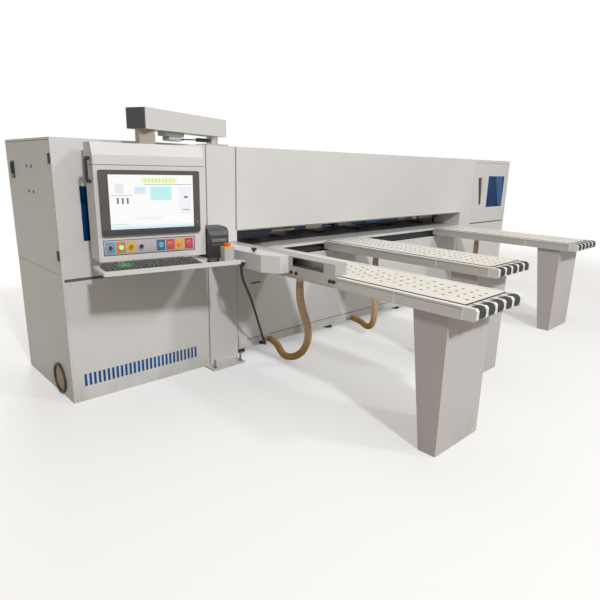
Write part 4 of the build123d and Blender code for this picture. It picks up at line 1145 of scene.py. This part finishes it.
class BEAM_SAW_OT_covers(bpy.types.Operator):
    """Sheet covers, their seams and their screws"""
    bl_idname = "beam_saw.covers"
    bl_label = "Covers"

    def execute(self, context):
        sizes = context.scene.beam_saw.sizes
        dress(cover_paint(), "cabinet_shell", "vent_panel", "column_post", "beam_cover", "lower_front_panel",
              "right_tower", "right_door", "fence_cover", "swing_arm")
        # Painted shade: the legs take the darker leg colour
        dress(cover_paint("leg_paint", "legs"), "table_legs")
        self.seams(sizes.seam)
        self.screws(sizes.screw_radius)
        return {"FINISHED"}

    def seams(self, width):
        """Dark joints between the covers, and painted shade in the gaps at their edges."""
        shell_low, shell_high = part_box("cabinet_shell")
        column_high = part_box("column_post")[1]
        vent_low, vent_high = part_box("vent_panel")
        panel_low, panel_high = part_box("lower_front_panel")
        beam_low, beam_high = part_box("beam_cover")
        door_low, door_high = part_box("right_door")
        slot = from_left(1.574, 0, 0.649)
        joint, lip, top = shell_high.x, beam_low.z, column_high.z - 0.002
        lip_start, raised, flush = beam_low.x + 0.002, (-0.001, 0.002), (-0.0008, 0.002)
        rubber, lip_grey, seam_grey, gap_shade = range(4)
        # Ends along X, depths behind the front, ends along Z and finish of each strip
        strips = (
            (joint - width, joint + width / 2, raised, 0.02, top, seam_grey),
            (column_high.x - 2 * width, column_high.x, raised, lip, top, seam_grey),
            # Painted shade: brown strip inside the gap over the vent panel
            (vent_low.x + 0.002, vent_high.x - 0.002, (0.006, 0.009), vent_high.z + 0.001,
             vent_high.z + 0.020, gap_shade),
            (column_high.x, panel_high.x, flush, panel_low.z - 0.003, panel_low.z + 0.002, rubber),
            (lip_start, beam_high.x, (0.003, 0.018), lip - 0.004, lip, rubber),
            (lip_start, beam_high.x, (0.004, 0.018), lip - 0.009, lip - 0.004, lip_grey),
            (door_low.x - 0.008, door_high.x + 0.008, flush, door_low.z - 0.013, door_low.z - 0.001, rubber),
            # Painted shade: brown strip for the recess of a slot in the lower front panel
            (slot.x, slot.x + 0.102, flush, slot.z - 0.004, slot.z + 0.014, gap_shade),
        )
        form = Form()
        for start, stop, (near, far), bottom, above, look in strips:
            form.slab((start, shell_low.y + near, bottom), (stop, shell_low.y + far, above), look=look)
        looks = [black_rubber("seam_rubber", 0.0), machine_paint("lip_grey", (0.36, 0.33, 0.29)),
                 moulded("seam_grey", (0.27, 0.26, 0.25), 0.5), gap_brown()]
        form.piece("cover_seams", "machine", looks, "black_plastic")

    def screws(self, radius):
        """Screws of the vent panel and the lower front panel."""
        side, edge = 0.035, 0.02
        spots = []
        for node, count in (("vent_panel", 5), ("lower_front_panel", 12)):
            low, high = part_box(node)
            step = (high.x - low.x - 2 * side) / (count - 1)
            for k in range(count):
                x = low.x + side + k * step
                spots += [(x, low.y, low.z + edge), (x, low.y, high.z - edge)]
        repeat("cover_screws", screw_unit, {"Radius": radius, "Height": 0.003, "Socket": 0.5}, spots,
               plated_steel("screw_zinc", 1.0, 0.25), "machine", frontward)


class BEAM_SAW_OT_cabinet(bpy.types.Operator):
    """Doors, windows, vents, switchgear and outlet of the two end housings"""
    bl_idname = "beam_saw.cabinet"
    bl_label = "End housings"

    def execute(self, context):
        shell_side, lock_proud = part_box("cabinet_shell")[0].x, 0.0007
        dress(coated("door_paint", 0, shell_side - lock_proud, -1, palette("rubber")), "cabinet_door")
        for node in ("cabinet_window", "right_window"):
            dress(tinted_pane(node), node)
        dress(moulded("gear_plastic", (0.30, 0.31, 0.32), 0.4), "electrical_plate")
        dress(dark_paint(), "air_blower")
        dress(port_plastic(), "service_fittings")
        dress(plated_steel("foot_zinc", 0.55, 0.4), "levelling_feet")
        self.vent_filter()
        self.door_bolts(shell_side)
        self.door_pull()
        return {"FINISHED"}

    def vent_filter(self):
        """Pleated blue mat behind the vent slots."""
        low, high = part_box("vent_panel")
        count, margin, pleat_share = 60, 0.05, 0.8
        front, back, bottom, top, bevel = high.y + 0.002, high.y + 0.014, 0.09, 0.22, 0.002
        step = (high.x - low.x - 2 * margin) / count
        form = Form()
        for k in range(count):
            x = low.x + margin + k * step
            form.slab((x, front, bottom), (x + pleat_share * step, back, top), bevel)
        form.piece("vent_filter", "machine", [moulded("filter_blue", (0.015, 0.12, 0.38), 0.7)], "blue_paint")

    def door_bolts(self, side):
        """Black bolt heads on the side door."""
        low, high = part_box("cabinet_door")
        rows, columns = (high.z - 0.165, high.z - 0.335), (low.y + 0.40, low.y + 0.50)
        spots = [(side, y, z) for z in rows for y in columns]
        bolts("door_bolts", spots, "cabinet_door", leftward, radius=0.011, height=0.005)

    def door_pull(self):
        """Slanting dark plate, painted as the shade inside a recessed grip, with a pale cheek, beside the
        access window.
        """
        # Painted shade: dark plate where the grip is recessed
        shaded_grip_outline = ((5.430, 1.560), (5.506, 1.572), (5.548, 1.215), (5.506, 1.210))
        cheek = ((5.508, 1.572), (5.575, 1.582), (5.590, 1.330), (5.538, 1.322))
        form = Form()
        form.sheet(shaded_grip_outline, thickness=0.004)
        form.sheet(cheek, thickness=0.003, look=1)
        looks = [moulded("pull_black", palette("rubber"), 0.4),
                 moulded("pull_cheek", (0.62, 0.55, 0.52), 0.45)]
        form.piece("door_pull", "right_door", looks, "black_plastic")


class BEAM_SAW_OT_structure(bpy.types.Operator):
    """Frame, girder, pressure beam and the strips in the throat"""
    bl_idname = "beam_saw.structure"
    bl_label = "Frame and beam"

    def execute(self, context):
        lines_along_z = (120, 120, 3)
        dress(frame_blue(), "bridge_beam", "pressure_beam")
        dress(base_paint(), "base_frame")
        dress(worn_table(), "saw_table")
        dress(plated_steel("rail_steel", 1.1, 0.18), "carriage_rails")
        dress(anodised("cylinder_aluminium", lines_along_z, 1.0), "lift_cylinders")
        self.throat_strips()
        self.beam_pads()
        return {"FINISHED"}

    def throat_strips(self):
        """Row of black flaps hung in the left end of the throat."""
        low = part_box("beam_cover")[0]
        count, pitch, flap_share, start, bevel = 15, 0.0237, 0.86, low.x + 0.010, 0.001
        front, back = low.y + 0.020, low.y + 0.024
        bottom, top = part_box("pressure_beam")[0].z + 0.012, low.z - 0.010
        form = Form()
        for k in range(count):
            x = start + k * pitch
            form.slab((x, front, bottom), (x + flap_share * pitch, back, top), bevel)
        looks = [moulded("flap_blue", (0.002, 0.005, 0.012), 0.6)]
        form.piece("throat_strips", "machine", looks, "black_plastic")

    def beam_pads(self):
        """Pads and guide blocks along the front of the pressure beam's foot."""
        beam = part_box("pressure_beam")[0]
        front, back, bottom, bevel = beam.y - 0.012, beam.y + 0.001, beam.z + 0.001, 0.003
        cream, grey, blue = range(3)
        # Ends from the left of the machine, height and finish of each block
        blocks = (
            (2.069, 2.373, 0.024, cream), (2.526, 2.761, 0.045, cream), (3.020, 3.235, 0.050, grey),
            (3.467, 3.725, 0.062, blue), (4.094, 4.262, 0.066, grey), (4.420, 4.502, 0.074, cream),
            (4.560, 4.860, 0.044, grey),
        )
        form = Form()
        for start, stop, height, look in blocks:
            low = (left_front.x + start, front, bottom)
            high = (left_front.x + stop, back, beam.z + height)
            form.slab(low, high, bevel, look=look)
        looks = [enamel("pad_cream", (0.62, 0.56, 0.44)), machine_paint("pad_grey", (0.28, 0.26, 0.24)),
                 machine_paint("pad_blue", (0.03, 0.13, 0.36))]
        form.piece("beam_pads", "pressure_beam", looks, "cream_plate")


class BEAM_SAW_OT_saw(bpy.types.Operator):
    """Carriage, lift, motors and blades"""
    bl_idname = "beam_saw.saw"
    bl_label = "Saw unit"

    def execute(self, context):
        dress(dark_paint(), "saw_carriage", "saw_motors")
        dress(ground_steel(), "saw_unit")
        dress(plated_steel("blade_steel", 1.15, 0.16), "main_blade", "scoring_blade")
        return {"FINISHED"}


class BEAM_SAW_OT_tables(bpy.types.Operator):
    """Air tables with their valves, edge strips and rollers"""
    bl_idname = "beam_saw.tables"
    bl_label = "Air tables"

    top_end = 0.078
    top_thickness = 0.0045

    def execute(self, context):
        sizes = context.scene.beam_saw.sizes
        dress(table_metal(), "air_tables")
        dress(laminate(), "table_tops")
        dress(black_rubber("roller_rubber", 1400.0), "front_rollers_1", "front_rollers_2", "front_rollers_3")
        tops = [(low - Vector((0, self.top_end, 0)), high) for low, high in solids("table_tops")]
        self.top_ends(tops)
        self.valves(tops, sizes)
        self.strips(tops)
        self.profile_lines()
        return {"FINISHED"}

    def top_ends(self, tops):
        """Laminate over the end of each table, up to its rollers."""
        sunk = 0.0002
        form = Form()
        for low, high in tops:
            form.slab((low.x, low.y, high.z - self.top_thickness),
                      (high.x, low.y + self.top_end, high.z - sunk))
        form.piece("top_ends", "machine", [laminate()], "cream_plate")

    def valves(self, tops, sizes):
        """Staggered rows of air valves over each top."""
        spots = []
        pitch, margin = sizes.valve_pitch, 0.045
        cup_lift, ball_drop, ball_share = 0.0004, 0.0022, 0.45
        for low, high in tops:
            across = int((high.x - low.x - 2 * margin) / pitch)
            along = int((high.y - low.y - 2 * margin) / pitch)
            start = (low.x + high.x - (across - 0.5) * pitch) / 2
            for row in range(along + 1):
                for k in range(across):
                    x = start + (k + 0.5 * (row % 2)) * pitch
                    spots.append(Vector((x, low.y + margin + row * pitch, high.z)))
        cups = [spot + Vector((0, 0, cup_lift)) for spot in spots]
        repeat("air_valve_cups", screw_unit, {"Radius": sizes.valve_radius, "Height": 0.0012, "Socket": 0.72},
               cups, moulded("valve_grey", (0.10, 0.095, 0.09), 0.5), "machine")
        balls = [spot - Vector((0, 0, ball_drop)) for spot in spots]
        repeat("air_valve_balls", ball_unit, {"Radius": sizes.valve_radius * ball_share}, balls,
               plated_steel("ball_steel", 1.1, 0.15), "machine")

    def strips(self, tops):
        """Dark sealing strip round each top."""
        width, sunk, bevel = 0.010, 0.001, 0.0008
        form = Form()
        for low, high in tops:
            front, back = low.y - width, high.y - sunk
            for start, stop, end in ((low.x - width, low.x, back), (high.x, high.x + width, back),
                                     (low.x, high.x, low.y)):
                form.slab((start, front, high.z - self.top_thickness), (stop, end, high.z - sunk), bevel)
        form.piece("top_strips", "machine", [black_rubber("strip_rubber", 0.0)], "black_plastic")

    def profile_lines(self):
        """Painted shade of the grooves along the side profiles as dark strips, and the joints of their end
        blocks.
        """
        proud, deep, joint_width = 0.0006, 0.002, 0.007
        form = Form()
        for low, high in beside(solids("air_tables")):
            groove_front, groove_back = low.y + 0.084, high.y - 0.004
            groove_low, groove_high = high.z - 0.016, high.z - 0.013
            joint_low, joint_high = low.z + 0.003, high.z - 0.002
            for side, sign in ((low.x, -1), (high.x, 1)):
                start, stop = sorted((side + sign * proud, side - sign * deep))
                # Painted shade: dark strip for the groove
                form.slab((start, groove_front, groove_low), (stop, groove_back, groove_high))
                for y in (low.y + 0.078, low.y + 0.528):
                    form.slab((start, y, joint_low), (stop, y + joint_width, joint_high), look=1)
        looks = [moulded("groove_grey", (0.22, 0.21, 0.19), 0.5), enamel("joint_white", (0.86, 0.85, 0.83))]
        form.piece("profile_lines", "machine", looks, "shade_paint")


class BEAM_SAW_OT_fence(bpy.types.Operator):
    """Side fence with its bolts, groove and clamp knob"""
    bl_idname = "beam_saw.fence"
    bl_label = "Side fence"

    def execute(self, context):
        dress(anodised("fence_aluminium", lines_along_y, 0.92), "side_fence")
        low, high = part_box("side_fence")
        self.fence_bolts(low)
        self.groove(low, high)
        self.knob()
        return {"FINISHED"}

    def fence_bolts(self, low):
        """Bolt heads on the fence's outer side."""
        rise = 0.028
        spots = [(low.x, left_front.y + y, low.z + rise) for y in (-0.822, -0.876, -1.204, -1.236)]
        bolts("fence_bolts", spots, "machine", leftward, radius=0.013, height=0.014)

    def groove(self, low, high):
        """Painted shade: dark strip for the groove along the top of the fence."""
        start, stop, end_gap, deep, proud = high.x - 0.007, high.x - 0.003, 0.004, 0.002, 0.0006
        form = Form()
        # Painted shade: dark strip for the groove
        form.slab((start, low.y + end_gap, high.z - deep), (stop, high.y - end_gap, high.z + proud))
        form.piece("fence_groove", "machine", [gap_brown()], "black_plastic")

    def knob(self):
        """Round clamp knob on the fence cover."""
        low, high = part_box("fence_cover")
        base = Vector((low.x + 0.048, high.y - 0.531, high.z))
        profile = ((0.007, 0), (0.007, 0.012), (0.018, 0.014), (0.020, 0.018), (0.020, 0.028), (0.016, 0.032))
        form = Form()
        form.turned(profile, base, upward, sides=20)
        form.piece("clamp_knob", "machine", [bolt_black()], "black_plastic")


class BEAM_SAW_OT_console(bpy.types.Operator):
    """Console housing, monitor, screen, handle and stop box"""
    bl_idname = "beam_saw.console"
    bl_label = "Console"

    hanger_low = 1.776

    def execute(self, context):
        dress(coated("console_paint", 2, self.hanger_low, 1, (0.37, 0.33, 0.27)), "console_housing")
        dress(cover_paint(), "keyboard_tray")
        dress(plated_steel("post_steel", 1.1, 0.3), "arm_post")
        dress(bezel_plastic(), "monitor")
        dress(moulded("handle_plastic", palette("rubber"), 0.4), "console_handle")
        dress(moulded("cap_plastic", tint(palette("case"), 1.1), 0.42), "arm_caps")
        dress(stop_case(), "stop_box")
        dress(lit_plastic("stop_red", (0.72, 0.07, 0.02), 0.0), "stop_button")
        self.screen()
        self.stop_collar()
        self.bezel_lamp()
        self.housing_seam()
        self.hanger_bolts()
        self.clamp_lever()
        self.arm_duct()
        return {"FINISHED"}

    def screen(self):
        """Glass of the monitor with its lit page, in the recess of the case."""
        low, high = console_box("monitor")
        start, stop, y = low.x + 0.0552, high.x - 0.0462, low.y + 0.0047
        bottom, top = low.z + 0.0392, high.z - 0.0282
        form = bmesh.new()
        places = ((start, y, bottom), (stop, y, bottom), (stop, y, top), (start, y, top))
        face = form.faces.new([form.verts.new(console_at @ Vector(place)) for place in places])
        layer = form.loops.layers.uv.new("UVMap")
        for loop, corner in zip(face.loops, ((0, 0), (1, 0), (1, 1), (0, 1))):
            loop[layer].uv = corner
        data = mesh_data("screen_glass", form, [screen_light()])
        settle(link("screen_glass", data), "console")

    def stop_collar(self):
        """Yellow collar under the mushroom."""
        low, high = console_box("stop_box")
        base = Vector(((low.x + high.x) / 2, (low.y + high.y) / 2, high.z))
        profile = ((0.011, 0), (0.026, 0), (0.026, 0.002), (0.022, 0.0035), (0.011, 0.0035))
        form = Form(console_at)
        form.turned(profile, base, upward, sides=32, ring=True)
        form.piece("stop_collar", "console", [enamel("collar_yellow", (0.80, 0.55, 0.05))], "yellow_plastic")

    def bezel_lamp(self):
        """Small red lamp in the lower right of the bezel."""
        low, high = console_box("monitor")
        base = Vector((high.x - 0.022, low.y, low.z + 0.07))
        profile = ((0.006, 0), (0.006, 0.001), (0.004, 0.002))
        form = Form(console_at)
        form.turned(profile, base, frontward, sides=16)
        form.piece("bezel_lamp", "console", [lit_plastic("lamp_red", (0.5, 0.08, 0.06), 0.2)], "red_plastic")

    def housing_seam(self):
        """Joint round the housing under its hood."""
        low, high = console_box("console_housing")
        proud, bottom, top = 0.0006, 1.6385, 1.6425
        form = Form(console_at)
        form.slab((low.x - proud, low.y - proud, bottom), (high.x + proud, high.y + proud, top))
        form.piece("housing_seam", "console", [moulded("joint_grey", (0.16, 0.15, 0.14), 0.5)], "shade_paint")

    def hanger_bolts(self):
        """Two black bolts in the hanger under the arm."""
        rise = 0.067
        block = [point for point in console_points("console_housing") if point.z > self.hanger_low]
        low, high = corners(block)
        spots = [console_at @ Vector((x, low.y, low.z + rise)) for x in (low.x + 0.009, high.x - 0.014)]
        bolts("hanger_bolts", spots, "console", tuple(-button_push), radius=0.008, height=0.012)

    def clamp_lever(self):
        """Black clamp at the foot of the arm's post, with a slim lever."""
        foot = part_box("arm_post")[0]
        base = Vector((foot.x, foot.y + 0.035, foot.z + 0.036))
        lever = ((0.0045, 0), (0.0045, 0.115), (0.0075, 0.120), (0.0085, 0.150), (0.0085, 0.205),
                 (0.005, 0.214))
        form = Form()
        form.slab(base - Vector((0.080, 0.016, 0.014)), base + Vector((0.030, 0.016, 0.014)), bevel=0.005)
        form.turned(lever, base - Vector((0.076, 0, 0)), (-1, 0, -0.03), sides=16)
        form.piece("clamp_lever", "machine", [bolt_black()], "black_plastic")

    def arm_duct(self):
        """Pale cable duct hung under the arm."""
        pivot = Vector(joints["arm_swing"]["pos_m"])
        reach = swivel - pivot
        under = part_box("swing_arm")[0].z
        turn = Matrix.Rotation(atan2(reach.y, reach.x), 4, "Z")
        # Along the arm from its post, across it, and down from its underside
        form = Form(Matrix.Translation((pivot.x, pivot.y, under)) @ turn)
        form.slab((0.402, -0.040, -0.030), (0.600, 0.040, 0.0005), bevel=0.006)
        form.slab((0.425, -0.034, -0.060), (0.560, 0.034, -0.028), bevel=0.008)
        form.piece("arm_duct", "swing_arm", [moulded("duct_grey", (0.46, 0.48, 0.49), 0.5)], "shade_paint")


class BEAM_SAW_OT_controls(bpy.types.Operator):
    """Control panel with its legend plates, caps and rims"""
    bl_idname = "beam_saw.controls"
    bl_label = "Controls"

    # Name, colour of the plate, colour of the cap and its glow
    legends = (
        ("power_switch", (0.10, 0.32, 0.47), (0.02, 0.03, 0.05), 0.0),
        ("start_button", (0.55, 0.22, 0.05), (0.35, 0.80, 0.20), 0.5),
        ("mode_switch", (0.80, 0.42, 0.03), (0.42, 0.20, 0.01), 0.0),
        ("height_switch", None, (0.03, 0.03, 0.03), 0.0),
        ("clamp_button", (0.03, 0.13, 0.32), (0.05, 0.45, 0.45), 0.1),
        ("return_button", (0.62, 0.06, 0.03), (0.70, 0.05, 0.04), 0.05),
        ("air_button", (0.80, 0.40, 0.03), (0.72, 0.28, 0.02), 0.05),
        ("cancel_button", (0.58, 0.04, 0.03), (0.66, 0.04, 0.05), 0.05),
    )
    plate_front = 0.003
    rim = ((0.0148, 0), (0.0185, 0), (0.0185, 0.003), (0.017, 0.0042), (0.0148, 0.0042))

    def execute(self, context):
        front = console_box("console_housing")[0].y
        boxes = [console_box(name) for name, *_ in self.legends]
        centres = [Vector(((low.x + high.x) / 2, front, (low.z + high.z) / 2)) for low, high in boxes]
        self.panel(front, centres)
        rims = Form(console_at)
        for (name, plate, cap, glow), centre in zip(self.legends, centres):
            if plate:
                self.legend(name, plate, centre)
            rims.turned(self.rim, centre - Vector((0, self.plate_front, 0)), frontward, ring=True)
            dress(lit_plastic(f"{name}_cap", cap, glow), name)
        rims.piece("button_rims", "console", [plated_steel("rim_steel", 1.2, 0.2)], "bright_steel")
        return {"FINISHED"}

    def legend(self, name, shade, centre):
        """Coloured plate with a hole for one button."""
        half, plate_back, hole_radius = Vector((0.029, 0, 0.036)), 0.0015, 0.0152
        low = centre - half - Vector((0, self.plate_front, 0))
        high = centre + half - Vector((0, plate_back, 0))
        form = Form(console_at)
        form.holed(low, high, centre, hole_radius)
        form.piece(f"{name}_legend", "console", [enamel(f"{name}_plate", shade)], "cover_paint")

    def panel(self, front, centres):
        """Grey plate behind the row, with a dark outline."""
        line_front, plate_front, plate_back, inset = front - 0.0012, front - 0.0016, front - 0.0001, 0.005
        start = min(centre.x for centre in centres) - 0.042
        stop = max(centre.x for centre in centres) + 0.046
        bottom, top = centres[0].z - 0.05, centres[0].z + 0.05
        form = Form(console_at)
        form.slab((start, line_front, bottom), (stop, front, top), bevel=0.0005, look=1)
        form.slab((start + inset, plate_front, bottom + inset), (stop - inset, plate_back, top - inset),
                  bevel=0.0004)
        looks = [enamel("panel_grey", (0.47, 0.45, 0.47)), enamel("panel_line", (0.06, 0.07, 0.10))]
        form.piece("control_panel", "console", looks, "shade_paint")


class BEAM_SAW_OT_keyboard(bpy.types.Operator):
    """Keyboard with its rows of keys, and the mouse beside it"""
    bl_idname = "beam_saw.keyboard"
    bl_label = "Keyboard"

    def execute(self, context):
        dress(moulded("keyboard_case", palette("case"), 0.45), "keyboard")
        low, high = console_box("keyboard")
        self.caps(low, high, context.scene.beam_saw.sizes)
        self.mouse(low.z)
        return {"FINISHED"}

    def caps(self, low, high, sizes):
        """Keycaps in rows that rise to the back, turned with the console."""
        columns, rows = sizes.key_columns, sizes.key_rows
        margin, front_height, lift, reflection_across = 0.010, 0.012, 0.002, 0.22
        width_share, depth_share = 0.86, 0.84
        pitch_x = (high.x - low.x - 2 * margin) / columns
        pitch_y = (high.y - low.y - 2 * margin) / rows
        spots = []
        for row in range(rows):
            y = low.y + margin + (row + 0.5) * pitch_y
            z = low.z + front_height + (high.z - low.z - front_height) * (row + 0.5) / rows + lift
            for column in range(columns):
                spots.append(console_at @ Vector((low.x + margin + (column + 0.5) * pitch_x, y, z)))
        cap = {"Width": pitch_x * width_share, "Depth": pitch_y * depth_share, "Height": 0.008, "Taper": 0.8}
        # Centre of the painted reflection of the screen on the keys
        reflection_centre = console_at @ Vector((low.x + reflection_across * (high.x - low.x), (low.y + high.y) / 2, high.z))
        repeat("keyboard_keys", key_unit, cap, spots, key_plastic(tuple(reflection_centre)), "console",
               turn=tuple(console_at.to_euler()))

    def mouse(self, table):
        """Black mouse on the tray, with its wheel and the joint between its keys."""
        spot = Matrix.Translation((0.335, -0.296, table)) @ Matrix.Rotation(radians(-78), 4, "Z")
        body = ((0.046, 0), (0.050, 0.008), (0.050, 0.020), (0.046, 0.033), (0.036, 0.043), (0.020, 0.049),
                (0.006, 0.0505))
        wheel = ((0.009, 0), (0.011, 0.002), (0.011, 0.009), (0.009, 0.011))
        squash = Matrix.Diagonal((0.66, 0.96, 0.55, 1))
        form = Form(console_at @ spot @ squash)
        form.turned(body, Vector(), upward, sides=32)
        form.turned(wheel, Vector((-0.0055, 0.024, 0.040)), rightward, sides=20, look=1)
        form.slab((-0.0012, 0.004, 0.030), (0.0012, 0.040, 0.0495), look=1)
        looks = [moulded("mouse_black", tint(palette("case"), 0.35), 0.32),
                 moulded("mouse_grey", tint(palette("case"), 1.6), 0.45)]
        form.piece("mouse", "console", looks, "black_plastic")


class BEAM_SAW_OT_printer(bpy.types.Operator):
    """Label printer with its mouth and grille"""
    bl_idname = "beam_saw.printer"
    bl_label = "Label printer"

    def execute(self, context):
        shade = palette("case")
        dress(moulded("printer_plastic", tint(shade, 0.55), 0.42), "label_printer")
        dress(moulded("lid_plastic", tint(shade, 0.9), 0.36), "printer_lid")
        self.grille(shade)
        self.lid_band(shade)
        return {"FINISHED"}

    def grille(self, shade):
        """Bars across the printer's front, and its mouth above them."""
        low, high = console_box("label_printer")
        count, first, pitch, height = 7, low.z + 0.025, 0.010, 0.005
        bar_side, bar_front, back = 0.022, low.y - 0.002, low.y + 0.001
        mouth_side, mouth_front, mouth_low, mouth_high = 0.014, low.y - 0.004, high.z - 0.022, high.z - 0.006
        form = Form(console_at)
        for k in range(count):
            z = first + k * pitch
            form.slab((low.x + bar_side, bar_front, z), (high.x - bar_side, back, z + height), bevel=0.0008)
        form.slab((low.x + mouth_side, mouth_front, mouth_low), (high.x - mouth_side, back, mouth_high),
                  bevel=0.0015, look=1)
        looks = [moulded("grille_plastic", tint(shade, 0.35), 0.5),
                 moulded("mouth_plastic", tint(shade, 1.3), 0.35)]
        form.piece("printer_grille", "console", looks, "black_plastic")

    def lid_band(self, shade):
        """Painted highlight: pale band along the front of the lid, where it catches the light."""
        low, high = console_box("printer_lid")
        side, front, back = 0.020, low.y - 0.0015, low.y + 0.002
        bottom, top = low.z + 0.006, low.z + 0.030
        form = Form(console_at)
        # Painted highlight: pale band on the lid's front
        form.slab((low.x + side, front, bottom), (high.x - side, back, top), bevel=0.001)
        form.piece("lid_band", "printer_lid", [moulded("band_grey", tint(shade, 3.6), 0.35)], "case_dark")


class BEAM_SAW_OT_rear(bpy.types.Operator):
    """Rear table, feeder and grippers"""
    bl_idname = "beam_saw.rear"
    bl_label = "Rear feeder"

    def execute(self, context):
        dress(frame_blue(), "rear_frame", "feeder_gantry")
        dress(dark_paint(), "gripper_bodies")
        dress(plated_steel("jaw_steel", 1.05, 0.22), "gripper_jaws")
        dress(anodised("track_aluminium", lines_along_y, 1.0), "rear_supports")
        self.wheels(context.scene.beam_saw.sizes)
        return {"FINISHED"}

    def wheels(self, sizes):
        """Row of wheels along each track, just over its top."""
        margin, proud = 0.05, 0.005
        spots = []
        for low, high in beside(solids("rear_supports")):
            count = int((high.y - low.y - 2 * margin) / sizes.wheel_pitch)
            x, z = (low.x + high.x) / 2, high.z + proud - sizes.wheel_radius
            spots += [(x, low.y + margin + k * sizes.wheel_pitch, z) for k in range(count + 1)]
        repeat("track_wheels", wheel_unit, {"Radius": sizes.wheel_radius, "Width": 0.022}, spots,
               moulded("wheel_grey", (0.16, 0.16, 0.165), 0.45), "machine", rightward)


class BEAM_SAW_PT_panel(bpy.types.Panel):
    """Sidebar list of the beam saw's pieces"""
    bl_idname = "BEAM_SAW_PT_panel"
    bl_label = "Beam saw"
    bl_space_type = "VIEW_3D"
    bl_region_type = "UI"
    bl_category = "Beam saw"

    def draw(self, context):
        settings = context.scene.beam_saw
        for operator in operators:
            self.layout.operator(operator.bl_idname)
        for group in (settings.colours, settings.sizes, settings.stage):
            box = self.layout.box()
            for name in group.__annotations__:
                box.prop(group, name)


operators = (
    BEAM_SAW_OT_stage, BEAM_SAW_OT_hoses, BEAM_SAW_OT_cable, BEAM_SAW_OT_covers, BEAM_SAW_OT_cabinet,
    BEAM_SAW_OT_structure, BEAM_SAW_OT_saw, BEAM_SAW_OT_tables, BEAM_SAW_OT_fence, BEAM_SAW_OT_console,
    BEAM_SAW_OT_controls, BEAM_SAW_OT_keyboard, BEAM_SAW_OT_printer, BEAM_SAW_OT_rear,
)
classes = (BeamSawColours, BeamSawSizes, BeamSawStage, BeamSawSettings, *operators, BEAM_SAW_PT_panel)


def register():
    """Adds the classes and the settings to Blender."""
    for each in classes:
        bpy.utils.register_class(each)
    bpy.types.Scene.beam_saw = PointerProperty(type=BeamSawSettings)


def unregister():
    """Takes the settings and the classes out again."""
    del bpy.types.Scene.beam_saw
    for each in reversed(classes):
        bpy.utils.unregister_class(each)


def main():
    """Makes every piece in order."""
    register()
    for operator in operators:
        getattr(bpy.ops.beam_saw, operator.bl_idname.split(".")[1])()


if __name__ == "__main__":
    main()
